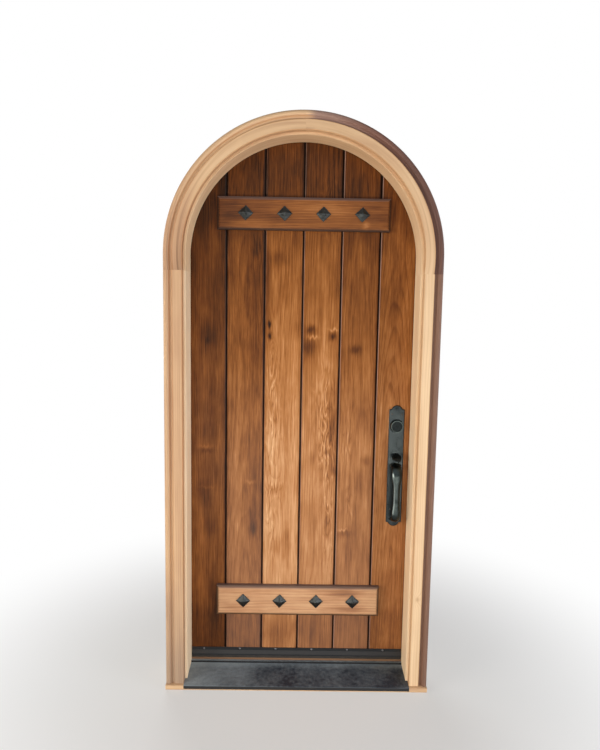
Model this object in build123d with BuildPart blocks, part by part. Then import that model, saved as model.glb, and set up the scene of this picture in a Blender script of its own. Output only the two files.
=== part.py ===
"""Arched plank door in its frame.

Millimetres. X runs to the right as seen from outside, Y runs into the building and Z is up.
The origin lies on the underside of the sill, midway between the jambs, in line with the
leaf's outside face. The leaf is closed, its latch is drawn and its deadbolt is unlocked.
"""

import os
from math import atan, cos, degrees, pi, radians, sin, sqrt, tan

from build123d import *

os.makedirs("parts", exist_ok=True)

# Leaf
LEAF_WIDTH = 914.0
LEAF_HEIGHT = 2134.0
LEAF_THICKNESS = 57.0
LEAF_GAP = 3.0
PLANK_COUNT = 6
VEE_HALF_WIDTH = 6.0
VEE_DEPTH = 5.5
TONGUE_THICKNESS = 12.0
TONGUE_LENGTH = 9.0
TONGUE_CLEARANCE = 0.4

# Battens and their studs
BATTEN_END_MARGIN = 117.0
BATTEN_WIDTH = 127.0
BATTEN_THICKNESS = 23.0
BATTEN_BEVEL_WIDTH = 12.0
BATTEN_BEVEL_DEPTH = 6.0
UPPER_BATTEN_ABOVE_SPRING = 172.5
LOWER_BATTEN_HEIGHT = 262.0
STUDS_PER_BATTEN = 4
STUD_SIDE = 42.0
STUD_RIM = 2.5
STUD_RISE = 12.0
STUD_TIP = 3.0
STUD_SHANK_RADIUS = 3.0
STUD_SHANK_LENGTH = 42.0

# Sill
SILL_SLOPE = 7.5
SILL_FRONT_HEIGHT = 19.5
SILL_NOSE = 8.0
SILL_NOSE_DROP = 14.0
SILL_NOSE_ROUND = 2.5
DECK_THICKNESS = 3.0
SHELF_HEIGHT = 45.0
SHELF_FRONT = 16.0
RISER_FRONT = 4.0
RISER_TOP = 54.0
RISER_HEIGHT = 20.0
RISER_GAP = 3.0
FOOT_RELIEF = 0.8

# Jamb
JAMB_STOCK = 32.0
JAMB_RABBET = 12.7
JAMB_STOP_DEPTH = 106.0
JAMB_ARRIS = 2.5
STOP_GAP = 4.0
JOINT_DROP = 59.0
DOWEL_RADIUS = 5.0
DOWEL_LENGTH = 60.0
DOWEL_DEPTHS = (30.0, 80.0)

# Outer moulding
MOULDING_THICKNESS = 32.0
MOULDING_SETBACK = 9.0
MOULDING_FLAT = 38.0
MOULDING_COVE = 12.0
MOULDING_BEAD = 22.0
MOULDING_FLAT_STEP = 3.0
MOULDING_COVE_DEPTH = 7.0
MOULDING_BEAD_RISE = 9.0
MOULDING_ARRIS = 2.0
MOULDING_RELIEF_WIDTH = 5.0
MOULDING_RELIEF_DEPTH = 1.5

# Weatherstrip
STRIP_CLEARANCE = 0.3
STRIP_WIDTH = 9.5
STRIP_EDGE_GAP = 0.8
KERF_WIDTH = 2.0
KERF_DEPTH = 9.0
KERF_SETBACK = 5.0
KERF_CLEARANCE = 0.2

# Bottom sweep
SWEEP_HEIGHT = 42.0
SWEEP_END_GAP = 2.0
SWEEP_WALL = 2.5
SWEEP_SLOPE_TOP = 30.0
SWEEP_SLOPE_END = 18.0
SWEEP_LIP_BOTTOM = 13.0
SWEEP_REACH = 13.0
SWEEP_LIP_WALL = 2.0
SWEEP_FOOT = 4.0
FIN_TOP = 13.0
FIN_REACH_BELOW = 2.2
FIN_THICKNESS = 3.0
FIN_TIP = 1.4
SWEEP_SCREW_HEIGHT = 35.5
SWEEP_SCREW_SHIFT = -14.0

# Outside handle plate and the lock's places
BACKSET = 63.5
LATCH_HEIGHT = 876.0
DEADBOLT_ABOVE_LATCH = 134.0
CROSS_BORE_RADIUS = 27.0
EDGE_BORE_RADIUS = 12.0
PLATE_WIDTH = 63.5
PLATE_BELOW_LATCH = 289.0
PLATE_ABOVE_DEADBOLT = 85.0
PLATE_THICKNESS = 6.0
PLATE_BEVEL = 2.8
PLATE_NOSE_RADIUS = 24.0
PLATE_SHOULDER = 16.0
PLATE_ROUND = 3.0
PLATE_TOP_SCREW_INSET = 35.0
PLATE_BOTTOM_SCREW_INSET = 72.5
PLATE_TOP_SCREW_OFFSET = 20.0
PLATE_BOTTOM_SCREW_OFFSET = 16.0
INSIDE_PLATE_BELOW_LATCH = 68.0
INSIDE_PLATE_LENGTH = 270.0
INSIDE_PLATE_THICKNESS = 5.0
BOLTS_ABOVE_LATCH = (41.0, 88.0)
BOLT_SHANK_RADIUS = 2.5
BOLT_HEAD_RADIUS = 5.0
BOLT_HEAD_DEPTH = 2.5

# Grip
GRIP_BELOW_LATCH = 31.0
GRIP_LENGTH = 223.0
GRIP_REACH = 52.0
GRIP_BEND = 36.0
GRIP_HALF_DEPTH = 8.0
GRIP_WAIST = 13.5
GRIP_TOP_HALF_WIDTH = 20.0
GRIP_BOTTOM_HALF_WIDTH = 17.0
GRIP_FLARE_POWER = 3
GRIP_SECTIONS = 11
GRIP_PAD_GROWTH = 4.0
GRIP_PAD_DEPTH = 5.0

# Thumb piece
THUMB_ABOVE_LATCH = 18.0
THUMB_PIVOT_DEPTH = 4.5
THUMB_PRESS = 15.0
THUMB_PIN_RADIUS = 2.0
THUMB_PIN_CLEARANCE = 0.05
THUMB_BARREL_RADIUS = 4.0
THUMB_BARREL_LENGTH = 14.0
THUMB_EAR = 3.0
THUMB_EAR_GAP = 0.4
THUMB_NECK_WIDTH = 10.0
THUMB_THICKNESS = 5.0
THUMB_WIDTH = 38.0
THUMB_REACH = 46.0
THUMB_DROP = 24.0
THUMB_TAIL = 17.0
THUMB_SLOT_CLEARANCE = 0.8

# Cylinder
COLLAR_BASE_RADIUS = 28.0
COLLAR_FACE_RADIUS = 25.0
COLLAR_DEPTH = 14.0
COLLAR_CLEARANCE = 0.1
CYLINDER_RADIUS = 21.5
CYLINDER_RECESS = 3.0
CYLINDER_TAIL = 14.0
PLUG_RADIUS = 7.5
PLUG_CLEARANCE = 0.05
KEYWAY_WIDTH = 2.0
KEYWAY_HEIGHT = 9.0
KEYWAY_DEPTH = 8.0

# Latch and deadbolt
LATCH_THROW = 12.7
LATCH_TURN = 60.0
DEADBOLT_THROW = 25.4
DEADBOLT_TURN = 90.0
BOLT_RADIUS = 8.0
LATCH_ROD = 48.0
DEADBOLT_ROD = 45.0
CASE_RADIUS = 11.7
CASE_WALL = 1.6
CASE_CHEEK_PLAY = 0.3
CASE_CHEEK_HALF_HEIGHT = 6.0
CASE_CHEEK_TAIL = 14.0
CASE_OVERLAP = 4.0
YOKE_THICKNESS = 3.0
YOKE_HALF_HEIGHT = 9.2
YOKE_WALL = 1.8
YOKE_CORNER = 2.5
CAM_OFFSET = 2.5
CAM_THICKNESS = 3.0
CAM_HUB_RADIUS = 7.5
DRIVE_PIN_RADIUS = 1.6
DRIVE_PIN_PLAY = 0.75
SPINDLE_RADIUS = 5.0
SPINDLE_START = 16.0
TAIL_BAR_RADIUS = 3.5
TAIL_BAR_GAP = 1.0
HUB_PLAY = 0.3
FACEPLATE_HEIGHT = 57.0
FACEPLATE_WIDTH = 25.4
FACEPLATE_THICKNESS = 3.0
FACEPLATE_SCREW_OFFSET = 21.5
STRIKE_THICKNESS = 2.0
STRIKE_HALF_WIDTH = 15.0
STRIKE_LIP = 4.0
LATCH_STRIKE_HEIGHT = 70.0
DEADBOLT_STRIKE_HEIGHT = 84.0
STRIKE_SCREW_INSET = 8.0
STRIKE_HOLE_PLAY = 1.2

# Inside knob and turn piece
KNOB_RADIUS = 27.0
KNOB_COLLAR_RADIUS = 12.0
KNOB_NECK_RADIUS = 8.5
KNOB_NECK_LENGTH = 20.0
KNOB_LENGTH = 62.0
ROSE_GAP = 0.3
TURN_BASE_RADIUS = 12.0
TURN_BASE_LENGTH = 9.0
TURN_WING_HEIGHT = 34.0
TURN_WING_THICKNESS = 8.0
TURN_WING_LENGTH = 16.0

# Hinges
HINGE_LENGTH = 114.0
HINGE_LEAF_DEPTH = 45.0
HINGE_LEAF_THICKNESS = 3.0
HINGE_BARREL_RADIUS = 6.5
HINGE_PIN_RADIUS = 3.0
HINGE_PIN_CLEARANCE = 0.05
HINGE_PIN_OFFSET = 7.5
HINGE_KNUCKLES = 5
HINGE_KNUCKLE_GAP = 0.4
HINGE_CAP_LENGTH = 3.0
BOTTOM_HINGE_HEIGHT = 270.0
TOP_HINGE_BELOW_SPRING = 139.0
HINGE_SCREW_SPOTS = ((14.0, -44.0), (32.0, -15.0), (32.0, 15.0), (14.0, 44.0))

# Screws
SCREW_HEAD_RADIUS = 4.2
SCREW_HEAD_DEPTH = 2.2
SCREW_SHANK_RADIUS = 2.0
LONG_SCREW = 30.0
SHORT_SCREW = 16.0

# Places worked out from the sizes above
ARCH_RADIUS = LEAF_WIDTH / 2
PLANK_WIDTH = LEAF_WIDTH / PLANK_COUNT
LEAF_BOTTOM = RISER_TOP + RISER_GAP
LEAF_MIDDLE = LEAF_THICKNESS / 2
SPRING = LEAF_BOTTOM + LEAF_HEIGHT - ARCH_RADIUS
JOINT_HEIGHT = SPRING - JOINT_DROP
RABBET_RADIUS = ARCH_RADIUS + LEAF_GAP
STOP_RADIUS = RABBET_RADIUS - JAMB_RABBET
JAMB_OUTER = STOP_RADIUS + JAMB_STOCK
JAMB_MIDDLE = (STOP_RADIUS + JAMB_OUTER) / 2
JAMB_FRONT = -STOP_GAP - JAMB_STOP_DEPTH
JAMB_BACK = LEAF_THICKNESS
MOULDING_FRONT = JAMB_FRONT - MOULDING_THICKNESS
MOULDING_INNER = STOP_RADIUS + MOULDING_SETBACK
MOULDING_OUTER = MOULDING_INNER + MOULDING_FLAT + MOULDING_COVE + MOULDING_BEAD
SILL_FRONT = MOULDING_FRONT - SILL_NOSE
DECK_BACK = SILL_FRONT_HEIGHT + (-SHELF_FRONT - SILL_FRONT) * tan(radians(SILL_SLOPE))
KERF_CENTRE = RABBET_RADIUS - KERF_SETBACK
LOCK_X = ARCH_RADIUS - BACKSET
LATCH_Z = LEAF_BOTTOM + LATCH_HEIGHT
DEADBOLT_Z = LATCH_Z + DEADBOLT_ABOVE_LATCH
PLATE_BOTTOM = LATCH_Z - PLATE_BELOW_LATCH
PLATE_TOP = DEADBOLT_Z + PLATE_ABOVE_DEADBOLT
INSIDE_PLATE_BOTTOM = LATCH_Z - INSIDE_PLATE_BELOW_LATCH
BATTEN_LENGTH = LEAF_WIDTH - 2 * BATTEN_END_MARGIN
INSIDE_FACE = LEAF_THICKNESS + INSIDE_PLATE_THICKNESS
HINGE_X = -(ARCH_RADIUS + LEAF_GAP / 2)
HINGE_Y = LEAF_THICKNESS + HINGE_PIN_OFFSET
MARGIN = 20.0


def finish(builder, name):
    """Label a finished piece and write it."""
    builder.part.label = name
    export_step(builder.part, f"parts/{name}.step")


def upright(depth):
    """Plane facing outwards at a depth; a positive extrusion comes towards the viewer."""
    return Plane.XZ.offset(-depth)


def side_plane(x):
    """Plane across the opening, drawn in depth and height."""
    return Plane.YZ.offset(x)


def screw_spot(x, y, z, outward):
    """Plane on a screwed face, its normal pointing out of the face."""
    return Plane(origin=(x, y, z), z_dir=outward)


def screws(spots, length, mode=Mode.ADD):
    """Countersunk screws with flush heads, or, with Mode.SUBTRACT, the holes they sit in."""
    for spot in spots:
        with Locations(spot):
            Cone(
                SCREW_SHANK_RADIUS,
                SCREW_HEAD_RADIUS,
                SCREW_HEAD_DEPTH,
                align=(Align.CENTER, Align.CENTER, Align.MAX),
                mode=mode,
            )
            Cylinder(
                SCREW_SHANK_RADIUS,
                length,
                align=(Align.CENTER, Align.CENTER, Align.MAX),
                mode=mode,
            )


# Sill

DECK_TOP_LINE = [
    (SILL_FRONT, SILL_FRONT_HEIGHT - SILL_NOSE_DROP),
    (SILL_FRONT, SILL_FRONT_HEIGHT),
    (-SHELF_FRONT, DECK_BACK),
    (-SHELF_FRONT, SHELF_HEIGHT),
    (-RISER_FRONT, SHELF_HEIGHT),
]
DECK_UNDER_LINE = [
    (-RISER_FRONT, SHELF_HEIGHT - DECK_THICKNESS),
    (-SHELF_FRONT + DECK_THICKNESS, SHELF_HEIGHT - DECK_THICKNESS),
    (-SHELF_FRONT + DECK_THICKNESS, DECK_BACK - DECK_THICKNESS),
    (SILL_FRONT + DECK_THICKNESS, SILL_FRONT_HEIGHT - DECK_THICKNESS),
    (SILL_FRONT + DECK_THICKNESS, SILL_FRONT_HEIGHT - SILL_NOSE_DROP),
]
BASE_LINE = [
    (SILL_FRONT + DECK_THICKNESS, 0),
    *reversed(DECK_UNDER_LINE),
    (-RISER_FRONT, RISER_TOP - RISER_HEIGHT),
    (JAMB_BACK, RISER_TOP - RISER_HEIGHT),
    (JAMB_BACK, 0),
]
HORN_LINE = [
    (JAMB_BACK, 0),
    (SILL_FRONT + DECK_THICKNESS, 0),
    (SILL_FRONT + DECK_THICKNESS, SILL_FRONT_HEIGHT - SILL_NOSE_DROP),
    *DECK_TOP_LINE,
    (-RISER_FRONT, RISER_TOP - RISER_HEIGHT),
    (JAMB_BACK, RISER_TOP - RISER_HEIGHT),
]
FOOT_LINE = [
    (SILL_FRONT - MARGIN, -MARGIN),
    (SILL_FRONT - MARGIN, SILL_FRONT_HEIGHT + FOOT_RELIEF - MARGIN * tan(radians(SILL_SLOPE))),
    (-SHELF_FRONT - FOOT_RELIEF, DECK_BACK + FOOT_RELIEF),
    (-SHELF_FRONT - FOOT_RELIEF, SHELF_HEIGHT),
    (-RISER_FRONT - FOOT_RELIEF, SHELF_HEIGHT),
    (-RISER_FRONT - FOOT_RELIEF, RISER_TOP),
    (JAMB_BACK + MARGIN, RISER_TOP),
    (JAMB_BACK + MARGIN, -MARGIN),
]


def sill_run(points, start, end):
    """Extrude a sill profile along the opening, from one place to another."""
    with BuildSketch(side_plane(start)) as profile:
        Polygon(*points, align=None)
    extrude(profile.sketch, amount=end - start)


with BuildPart() as sill_deck:
    sill_run(DECK_TOP_LINE + DECK_UNDER_LINE, -MOULDING_INNER, MOULDING_INNER)
    nose_edges = sill_deck.edges().filter_by(Axis.X).group_by(Axis.Y)[0]
    fillet(nose_edges.sort_by(Axis.Z)[-1], radius=SILL_NOSE_ROUND)
finish(sill_deck, "sill_deck")

with BuildPart() as sill_base:
    sill_run(BASE_LINE, -MOULDING_INNER, MOULDING_INNER)
    sill_run(HORN_LINE, MOULDING_INNER, MOULDING_OUTER)
    sill_run(HORN_LINE, -MOULDING_OUTER, -MOULDING_INNER)
    horn = MOULDING_OUTER - JAMB_OUTER
    with Locations(*[(side * (JAMB_OUTER + horn / 2), JAMB_FRONT, 0) for side in (-1, 1)]):
        Box(
            horn,
            JAMB_BACK - JAMB_FRONT,
            2 * RISER_TOP,
            align=(Align.CENTER, Align.MIN, Align.CENTER),
            mode=Mode.SUBTRACT,
        )
finish(sill_base, "sill_base")

with BuildPart() as sill_riser:
    with Locations((0, -RISER_FRONT, RISER_TOP)):
        Box(
            2 * JAMB_OUTER,
            JAMB_BACK + RISER_FRONT,
            RISER_HEIGHT,
            align=(Align.CENTER, Align.MIN, Align.MAX),
        )
finish(sill_riser, "sill_riser")


# Frame sections, drawn in X and Y to the right of the opening

def jamb_section():
    """Stop, rabbet and the weatherstrip's kerf."""
    with BuildLine() as outline:
        Polyline(
            (STOP_RADIUS, JAMB_FRONT + JAMB_ARRIS),
            (STOP_RADIUS, -STOP_GAP),
            (KERF_CENTRE - KERF_WIDTH / 2, -STOP_GAP),
            (KERF_CENTRE - KERF_WIDTH / 2, -STOP_GAP - KERF_DEPTH),
            (KERF_CENTRE + KERF_WIDTH / 2, -STOP_GAP - KERF_DEPTH),
            (KERF_CENTRE + KERF_WIDTH / 2, -STOP_GAP),
            (RABBET_RADIUS, -STOP_GAP),
            (RABBET_RADIUS, JAMB_BACK),
            (JAMB_OUTER, JAMB_BACK),
            (JAMB_OUTER, JAMB_FRONT),
            (STOP_RADIUS + JAMB_ARRIS, JAMB_FRONT),
        )
        ThreePointArc(
            (STOP_RADIUS + JAMB_ARRIS, JAMB_FRONT),
            rounded_corner(STOP_RADIUS, JAMB_FRONT, JAMB_ARRIS),
            (STOP_RADIUS, JAMB_FRONT + JAMB_ARRIS),
        )
    make_face(outline.edges())


def rounded_corner(x, y, radius):
    """Middle of a quarter round at a corner whose solid lies towards +X and +Y."""
    cut = radius * (1 - sqrt(0.5))
    return (x + cut, y + cut)


def moulding_section():
    """Flat, cove and bead, with a relief groove behind, beside the jamb's edge."""
    flat = MOULDING_FRONT + MOULDING_FLAT_STEP
    flat_end = MOULDING_INNER + MOULDING_FLAT
    bead_start = flat_end + MOULDING_COVE
    bead_root = MOULDING_FRONT + MOULDING_BEAD_RISE
    with BuildLine() as outline:
        ThreePointArc(
            (MOULDING_INNER, flat + MOULDING_ARRIS),
            rounded_corner(MOULDING_INNER, flat, MOULDING_ARRIS),
            (MOULDING_INNER + MOULDING_ARRIS, flat),
        )
        Line((MOULDING_INNER + MOULDING_ARRIS, flat), (flat_end, flat))
        ThreePointArc(
            (flat_end, flat),
            (flat_end + MOULDING_COVE / 2, flat + MOULDING_COVE_DEPTH),
            (bead_start, bead_root),
        )
        ThreePointArc(
            (bead_start, bead_root),
            (bead_start + MOULDING_BEAD / 2, MOULDING_FRONT),
            (MOULDING_OUTER, bead_root),
        )
        Polyline(
            (MOULDING_OUTER, bead_root),
            (MOULDING_OUTER, JAMB_FRONT),
            (JAMB_OUTER + MOULDING_RELIEF_WIDTH, JAMB_FRONT),
            (JAMB_OUTER + MOULDING_RELIEF_WIDTH, JAMB_FRONT - MOULDING_RELIEF_DEPTH),
            (JAMB_OUTER, JAMB_FRONT - MOULDING_RELIEF_DEPTH),
            (JAMB_OUTER, JAMB_FRONT),
            (MOULDING_INNER, JAMB_FRONT),
            (MOULDING_INNER, flat + MOULDING_ARRIS),
        )
    make_face(outline.edges())


def strip_section():
    """A bulb on the stop's shoulder and a leg in the kerf."""
    bulb = STOP_GAP - STRIP_CLEARANCE
    with Locations((RABBET_RADIUS - STRIP_EDGE_GAP - STRIP_WIDTH / 2, -STOP_GAP + bulb / 2)):
        Rectangle(STRIP_WIDTH, bulb)
    with Locations((KERF_CENTRE, -STOP_GAP)):
        Rectangle(
            KERF_WIDTH - 2 * KERF_CLEARANCE,
            KERF_DEPTH - KERF_CLEARANCE,
            align=(Align.CENTER, Align.MAX),
        )


def quarter_arch(section):
    """Sweep a section from the leg joint up and round to the crown, on the right."""
    with BuildSketch(Plane.XY.offset(SPRING)) as drawn:
        section()
    revolve(drawn.sketch, axis=Axis((0, 0, SPRING), (0, -1, 0)), revolution_arc=90)
    extrude(drawn.sketch, amount=-JOINT_DROP)


def frame_leg(section):
    """Extrude a section up to the leg joint and trim its foot to the sill."""
    with BuildSketch() as drawn:
        section()
    extrude(drawn.sketch, amount=JOINT_HEIGHT)
    with BuildSketch(side_plane(0)) as foot:
        Polygon(*FOOT_LINE, align=None)
    extrude(foot.sketch, amount=MOULDING_OUTER + MARGIN, mode=Mode.SUBTRACT)


def dowels(side, mode=Mode.ADD):
    """The two dowels in the joint between a leg and the arch."""
    for depth in DOWEL_DEPTHS:
        with Locations((side * JAMB_MIDDLE, -depth, JOINT_HEIGHT)):
            Cylinder(DOWEL_RADIUS, DOWEL_LENGTH, mode=mode)


def crown_dowels(mode=Mode.ADD):
    """The two dowels across the crown joint."""
    for depth in DOWEL_DEPTHS:
        with Locations((0, -depth, SPRING + JAMB_MIDDLE)):
            Cylinder(DOWEL_RADIUS, DOWEL_LENGTH, rotation=(0, 90, 0), mode=mode)


# Hinges

BOTTOM_HINGE = LEAF_BOTTOM + BOTTOM_HINGE_HEIGHT
TOP_HINGE = SPRING - TOP_HINGE_BELOW_SPRING
HINGE_CENTRES = {
    "bottom": BOTTOM_HINGE,
    "middle": (BOTTOM_HINGE + TOP_HINGE) / 2,
    "top": TOP_HINGE,
}
KNUCKLE_PITCH = HINGE_LENGTH / HINGE_KNUCKLES


def hinge_screw_spots(face_x, outward):
    """Screw places of the three hinge leaves on one side of the gap."""
    return [
        screw_spot(face_x, LEAF_THICKNESS - depth, centre + height, (outward, 0, 0))
        for centre in HINGE_CENTRES.values()
        for depth, height in HINGE_SCREW_SPOTS
    ]


FRAME_HINGE_SCREWS = hinge_screw_spots(-RABBET_RADIUS, 1)
LEAF_HINGE_SCREWS = hinge_screw_spots(-ARCH_RADIUS, -1)


def hinge_mortises(face_x, into):
    """Cut the recesses for the three hinge leaves; into is the way they go in."""
    for centre in HINGE_CENTRES.values():
        with Locations((face_x, LEAF_THICKNESS, centre)):
            Box(
                HINGE_LEAF_THICKNESS,
                HINGE_LEAF_DEPTH,
                HINGE_LENGTH,
                align=(Align.MIN if into > 0 else Align.MAX, Align.MAX, Align.CENTER),
                mode=Mode.SUBTRACT,
            )


def hinge_leaf(face_x, into, centre, knuckles, spots):
    """One hinge leaf with its own knuckles of the barrel."""
    align_x = Align.MIN if into > 0 else Align.MAX
    with Locations((face_x, LEAF_THICKNESS, centre)):
        Box(
            HINGE_LEAF_THICKNESS,
            HINGE_LEAF_DEPTH,
            HINGE_LENGTH,
            align=(align_x, Align.MAX, Align.CENTER),
        )
    height = KNUCKLE_PITCH - HINGE_KNUCKLE_GAP
    for knuckle in knuckles:
        middle = centre - HINGE_LENGTH / 2 + (knuckle + 0.5) * KNUCKLE_PITCH
        with Locations((face_x, LEAF_THICKNESS, middle)):
            Box(
                HINGE_LEAF_THICKNESS,
                HINGE_PIN_OFFSET,
                height,
                align=(align_x, Align.MIN, Align.CENTER),
            )
        with Locations((HINGE_X, HINGE_Y, middle)):
            Cylinder(HINGE_BARREL_RADIUS, height)
    with Locations((HINGE_X, HINGE_Y, centre)):
        Cylinder(HINGE_PIN_RADIUS + HINGE_PIN_CLEARANCE, 2 * HINGE_LENGTH, mode=Mode.SUBTRACT)
    screws(spots, LONG_SCREW, mode=Mode.SUBTRACT)


for position, hinge_centre in HINGE_CENTRES.items():
    with BuildPart() as hinge_frame_leaf:
        hinge_leaf(-RABBET_RADIUS, -1, hinge_centre, range(0, HINGE_KNUCKLES, 2), FRAME_HINGE_SCREWS)
    finish(hinge_frame_leaf, f"hinge_frame_leaf_{position}")

    with BuildPart() as hinge_door_leaf:
        hinge_leaf(-ARCH_RADIUS, 1, hinge_centre, range(1, HINGE_KNUCKLES, 2), LEAF_HINGE_SCREWS)
    finish(hinge_door_leaf, f"hinge_door_leaf_{position}")

with BuildPart() as hinge_pins:
    for hinge_centre in HINGE_CENTRES.values():
        with Locations((HINGE_X, HINGE_Y, hinge_centre)):
            Cylinder(HINGE_PIN_RADIUS, HINGE_LENGTH)
        with Locations((HINGE_X, HINGE_Y, hinge_centre + HINGE_LENGTH / 2)):
            Cylinder(
                HINGE_BARREL_RADIUS,
                HINGE_CAP_LENGTH,
                align=(Align.CENTER, Align.CENTER, Align.MIN),
            )
finish(hinge_pins, "hinge_pins")

with BuildPart() as hinge_frame_screws:
    screws(FRAME_HINGE_SCREWS, SHORT_SCREW)
finish(hinge_frame_screws, "hinge_frame_screws")

with BuildPart() as hinge_door_screws:
    screws(LEAF_HINGE_SCREWS, LONG_SCREW)
finish(hinge_door_screws, "hinge_door_screws")


# Strikes

LATCH_STRIKE_BACK = LEAF_MIDDLE - STRIKE_HALF_WIDTH
STRIKE_HOLE = BOLT_RADIUS + STRIKE_HOLE_PLAY


def strike_spots(centre, height):
    """Screw places of a strike, near its two ends."""
    reach = height / 2 - STRIKE_SCREW_INSET
    return [
        screw_spot(RABBET_RADIUS, LEAF_MIDDLE, centre + side * reach, (-1, 0, 0))
        for side in (-1, 1)
    ]


STRIKE_SCREWS = strike_spots(LATCH_Z, LATCH_STRIKE_HEIGHT) + strike_spots(
    DEADBOLT_Z, DEADBOLT_STRIKE_HEIGHT
)


def latch_strike_body(extra, mode=Mode.ADD):
    """The latch strike's plate, which runs out to the jamb's inside edge."""
    with Locations((RABBET_RADIUS, LATCH_STRIKE_BACK, LATCH_Z)):
        Box(
            STRIKE_THICKNESS,
            LEAF_THICKNESS - LATCH_STRIKE_BACK + extra,
            LATCH_STRIKE_HEIGHT,
            align=(Align.MIN, Align.MIN, Align.CENTER),
            mode=mode,
        )


def deadbolt_strike_body(mode=Mode.ADD):
    """The deadbolt strike's plate."""
    with Locations((RABBET_RADIUS, LEAF_MIDDLE, DEADBOLT_Z)):
        Box(
            STRIKE_THICKNESS,
            2 * STRIKE_HALF_WIDTH,
            DEADBOLT_STRIKE_HEIGHT,
            align=(Align.MIN, Align.CENTER, Align.CENTER),
            mode=mode,
        )


def bolt_hole(height):
    """Round hole along X for a bolt, through the jamb's rabbet."""
    with Locations((RABBET_RADIUS, LEAF_MIDDLE, height)):
        Cylinder(STRIKE_HOLE, JAMB_STOCK * 2, rotation=(0, 90, 0), mode=Mode.SUBTRACT)


with BuildPart() as latch_strike:
    latch_strike_body(STRIKE_LIP)
    bolt_hole(LATCH_Z)
    lip_edges = latch_strike.edges().filter_by(Axis.Z).group_by(Axis.Y)[-1]
    fillet(lip_edges.sort_by(Axis.X)[0], radius=STRIKE_THICKNESS * 0.9)
    screws(STRIKE_SCREWS, SHORT_SCREW, mode=Mode.SUBTRACT)
finish(latch_strike, "latch_strike")

with BuildPart() as deadbolt_strike:
    deadbolt_strike_body()
    bolt_hole(DEADBOLT_Z)
    screws(STRIKE_SCREWS, SHORT_SCREW, mode=Mode.SUBTRACT)
finish(deadbolt_strike, "deadbolt_strike")

with BuildPart() as strike_screws:
    screws(STRIKE_SCREWS, SHORT_SCREW)
finish(strike_screws, "strike_screws")


# Jamb, outer moulding and weatherstrip

with BuildPart() as plain_jamb_leg:
    frame_leg(jamb_section)

with BuildPart() as jamb_left_leg:
    mirror(plain_jamb_leg.part, about=Plane.YZ)
    hinge_mortises(-RABBET_RADIUS, -1)
    screws(FRAME_HINGE_SCREWS, SHORT_SCREW, mode=Mode.SUBTRACT)
    dowels(-1, mode=Mode.SUBTRACT)
finish(jamb_left_leg, "jamb_left_leg")

with BuildPart() as jamb_right_leg:
    add(plain_jamb_leg.part)
    latch_strike_body(0, mode=Mode.SUBTRACT)
    deadbolt_strike_body(mode=Mode.SUBTRACT)
    bolt_hole(LATCH_Z)
    bolt_hole(DEADBOLT_Z)
    screws(STRIKE_SCREWS, SHORT_SCREW, mode=Mode.SUBTRACT)
    dowels(1, mode=Mode.SUBTRACT)
finish(jamb_right_leg, "jamb_right_leg")

with BuildPart() as jamb_arch_right:
    quarter_arch(jamb_section)
    dowels(1, mode=Mode.SUBTRACT)
    crown_dowels(mode=Mode.SUBTRACT)
finish(jamb_arch_right, "jamb_arch_right")

with BuildPart() as jamb_arch_left:
    mirror(jamb_arch_right.part, about=Plane.YZ)
finish(jamb_arch_left, "jamb_arch_left")

with BuildPart() as jamb_dowels:
    dowels(-1)
    dowels(1)
    crown_dowels()
finish(jamb_dowels, "jamb_dowels")

with BuildPart() as moulding_right_leg:
    frame_leg(moulding_section)
finish(moulding_right_leg, "moulding_right_leg")

with BuildPart() as moulding_left_leg:
    mirror(moulding_right_leg.part, about=Plane.YZ)
finish(moulding_left_leg, "moulding_left_leg")

with BuildPart() as moulding_arch_right:
    quarter_arch(moulding_section)
finish(moulding_arch_right, "moulding_arch_right")

with BuildPart() as moulding_arch_left:
    mirror(moulding_arch_right.part, about=Plane.YZ)
finish(moulding_arch_left, "moulding_arch_left")

with BuildPart() as weatherstrip_right:
    frame_leg(strip_section)
finish(weatherstrip_right, "weatherstrip_right")

with BuildPart() as weatherstrip_left:
    mirror(weatherstrip_right.part, about=Plane.YZ)
finish(weatherstrip_left, "weatherstrip_left")

with BuildPart() as weatherstrip_arch:
    quarter_arch(strip_section)
    mirror(weatherstrip_arch.part, about=Plane.YZ)
finish(weatherstrip_arch, "weatherstrip_arch")


# Lock set places on the leaf's edge and faces

def faceplate_spots(centre):
    """Screw places of a faceplate in the leaf's edge."""
    return [
        screw_spot(ARCH_RADIUS, LEAF_MIDDLE, centre + side * FACEPLATE_SCREW_OFFSET, (1, 0, 0))
        for side in (-1, 1)
    ]


FACEPLATE_SCREWS = faceplate_spots(LATCH_Z) + faceplate_spots(DEADBOLT_Z)
PLATE_SCREWS = [
    screw_spot(LOCK_X + side * offset, -PLATE_THICKNESS, height, (0, -1, 0))
    for height, offset in (
        (PLATE_TOP - PLATE_TOP_SCREW_INSET, PLATE_TOP_SCREW_OFFSET),
        (PLATE_BOTTOM + PLATE_BOTTOM_SCREW_INSET, PLATE_BOTTOM_SCREW_OFFSET),
    )
    for side in (-1, 1)
]
SWEEP_SCREWS = [
    screw_spot(
        -ARCH_RADIUS + (index + 0.5) * PLANK_WIDTH + SWEEP_SCREW_SHIFT,
        -SWEEP_WALL,
        LEAF_BOTTOM + SWEEP_SCREW_HEIGHT,
        (0, -1, 0),
    )
    for index in range(PLANK_COUNT)
]
BATTEN_CENTRES = (SPRING + UPPER_BATTEN_ABOVE_SPRING, LEAF_BOTTOM + LOWER_BATTEN_HEIGHT)
STUD_PLACES = [
    ((index - (STUDS_PER_BATTEN - 1) / 2) * PLANK_WIDTH, height)
    for height in BATTEN_CENTRES
    for index in range(STUDS_PER_BATTEN)
]


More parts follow.
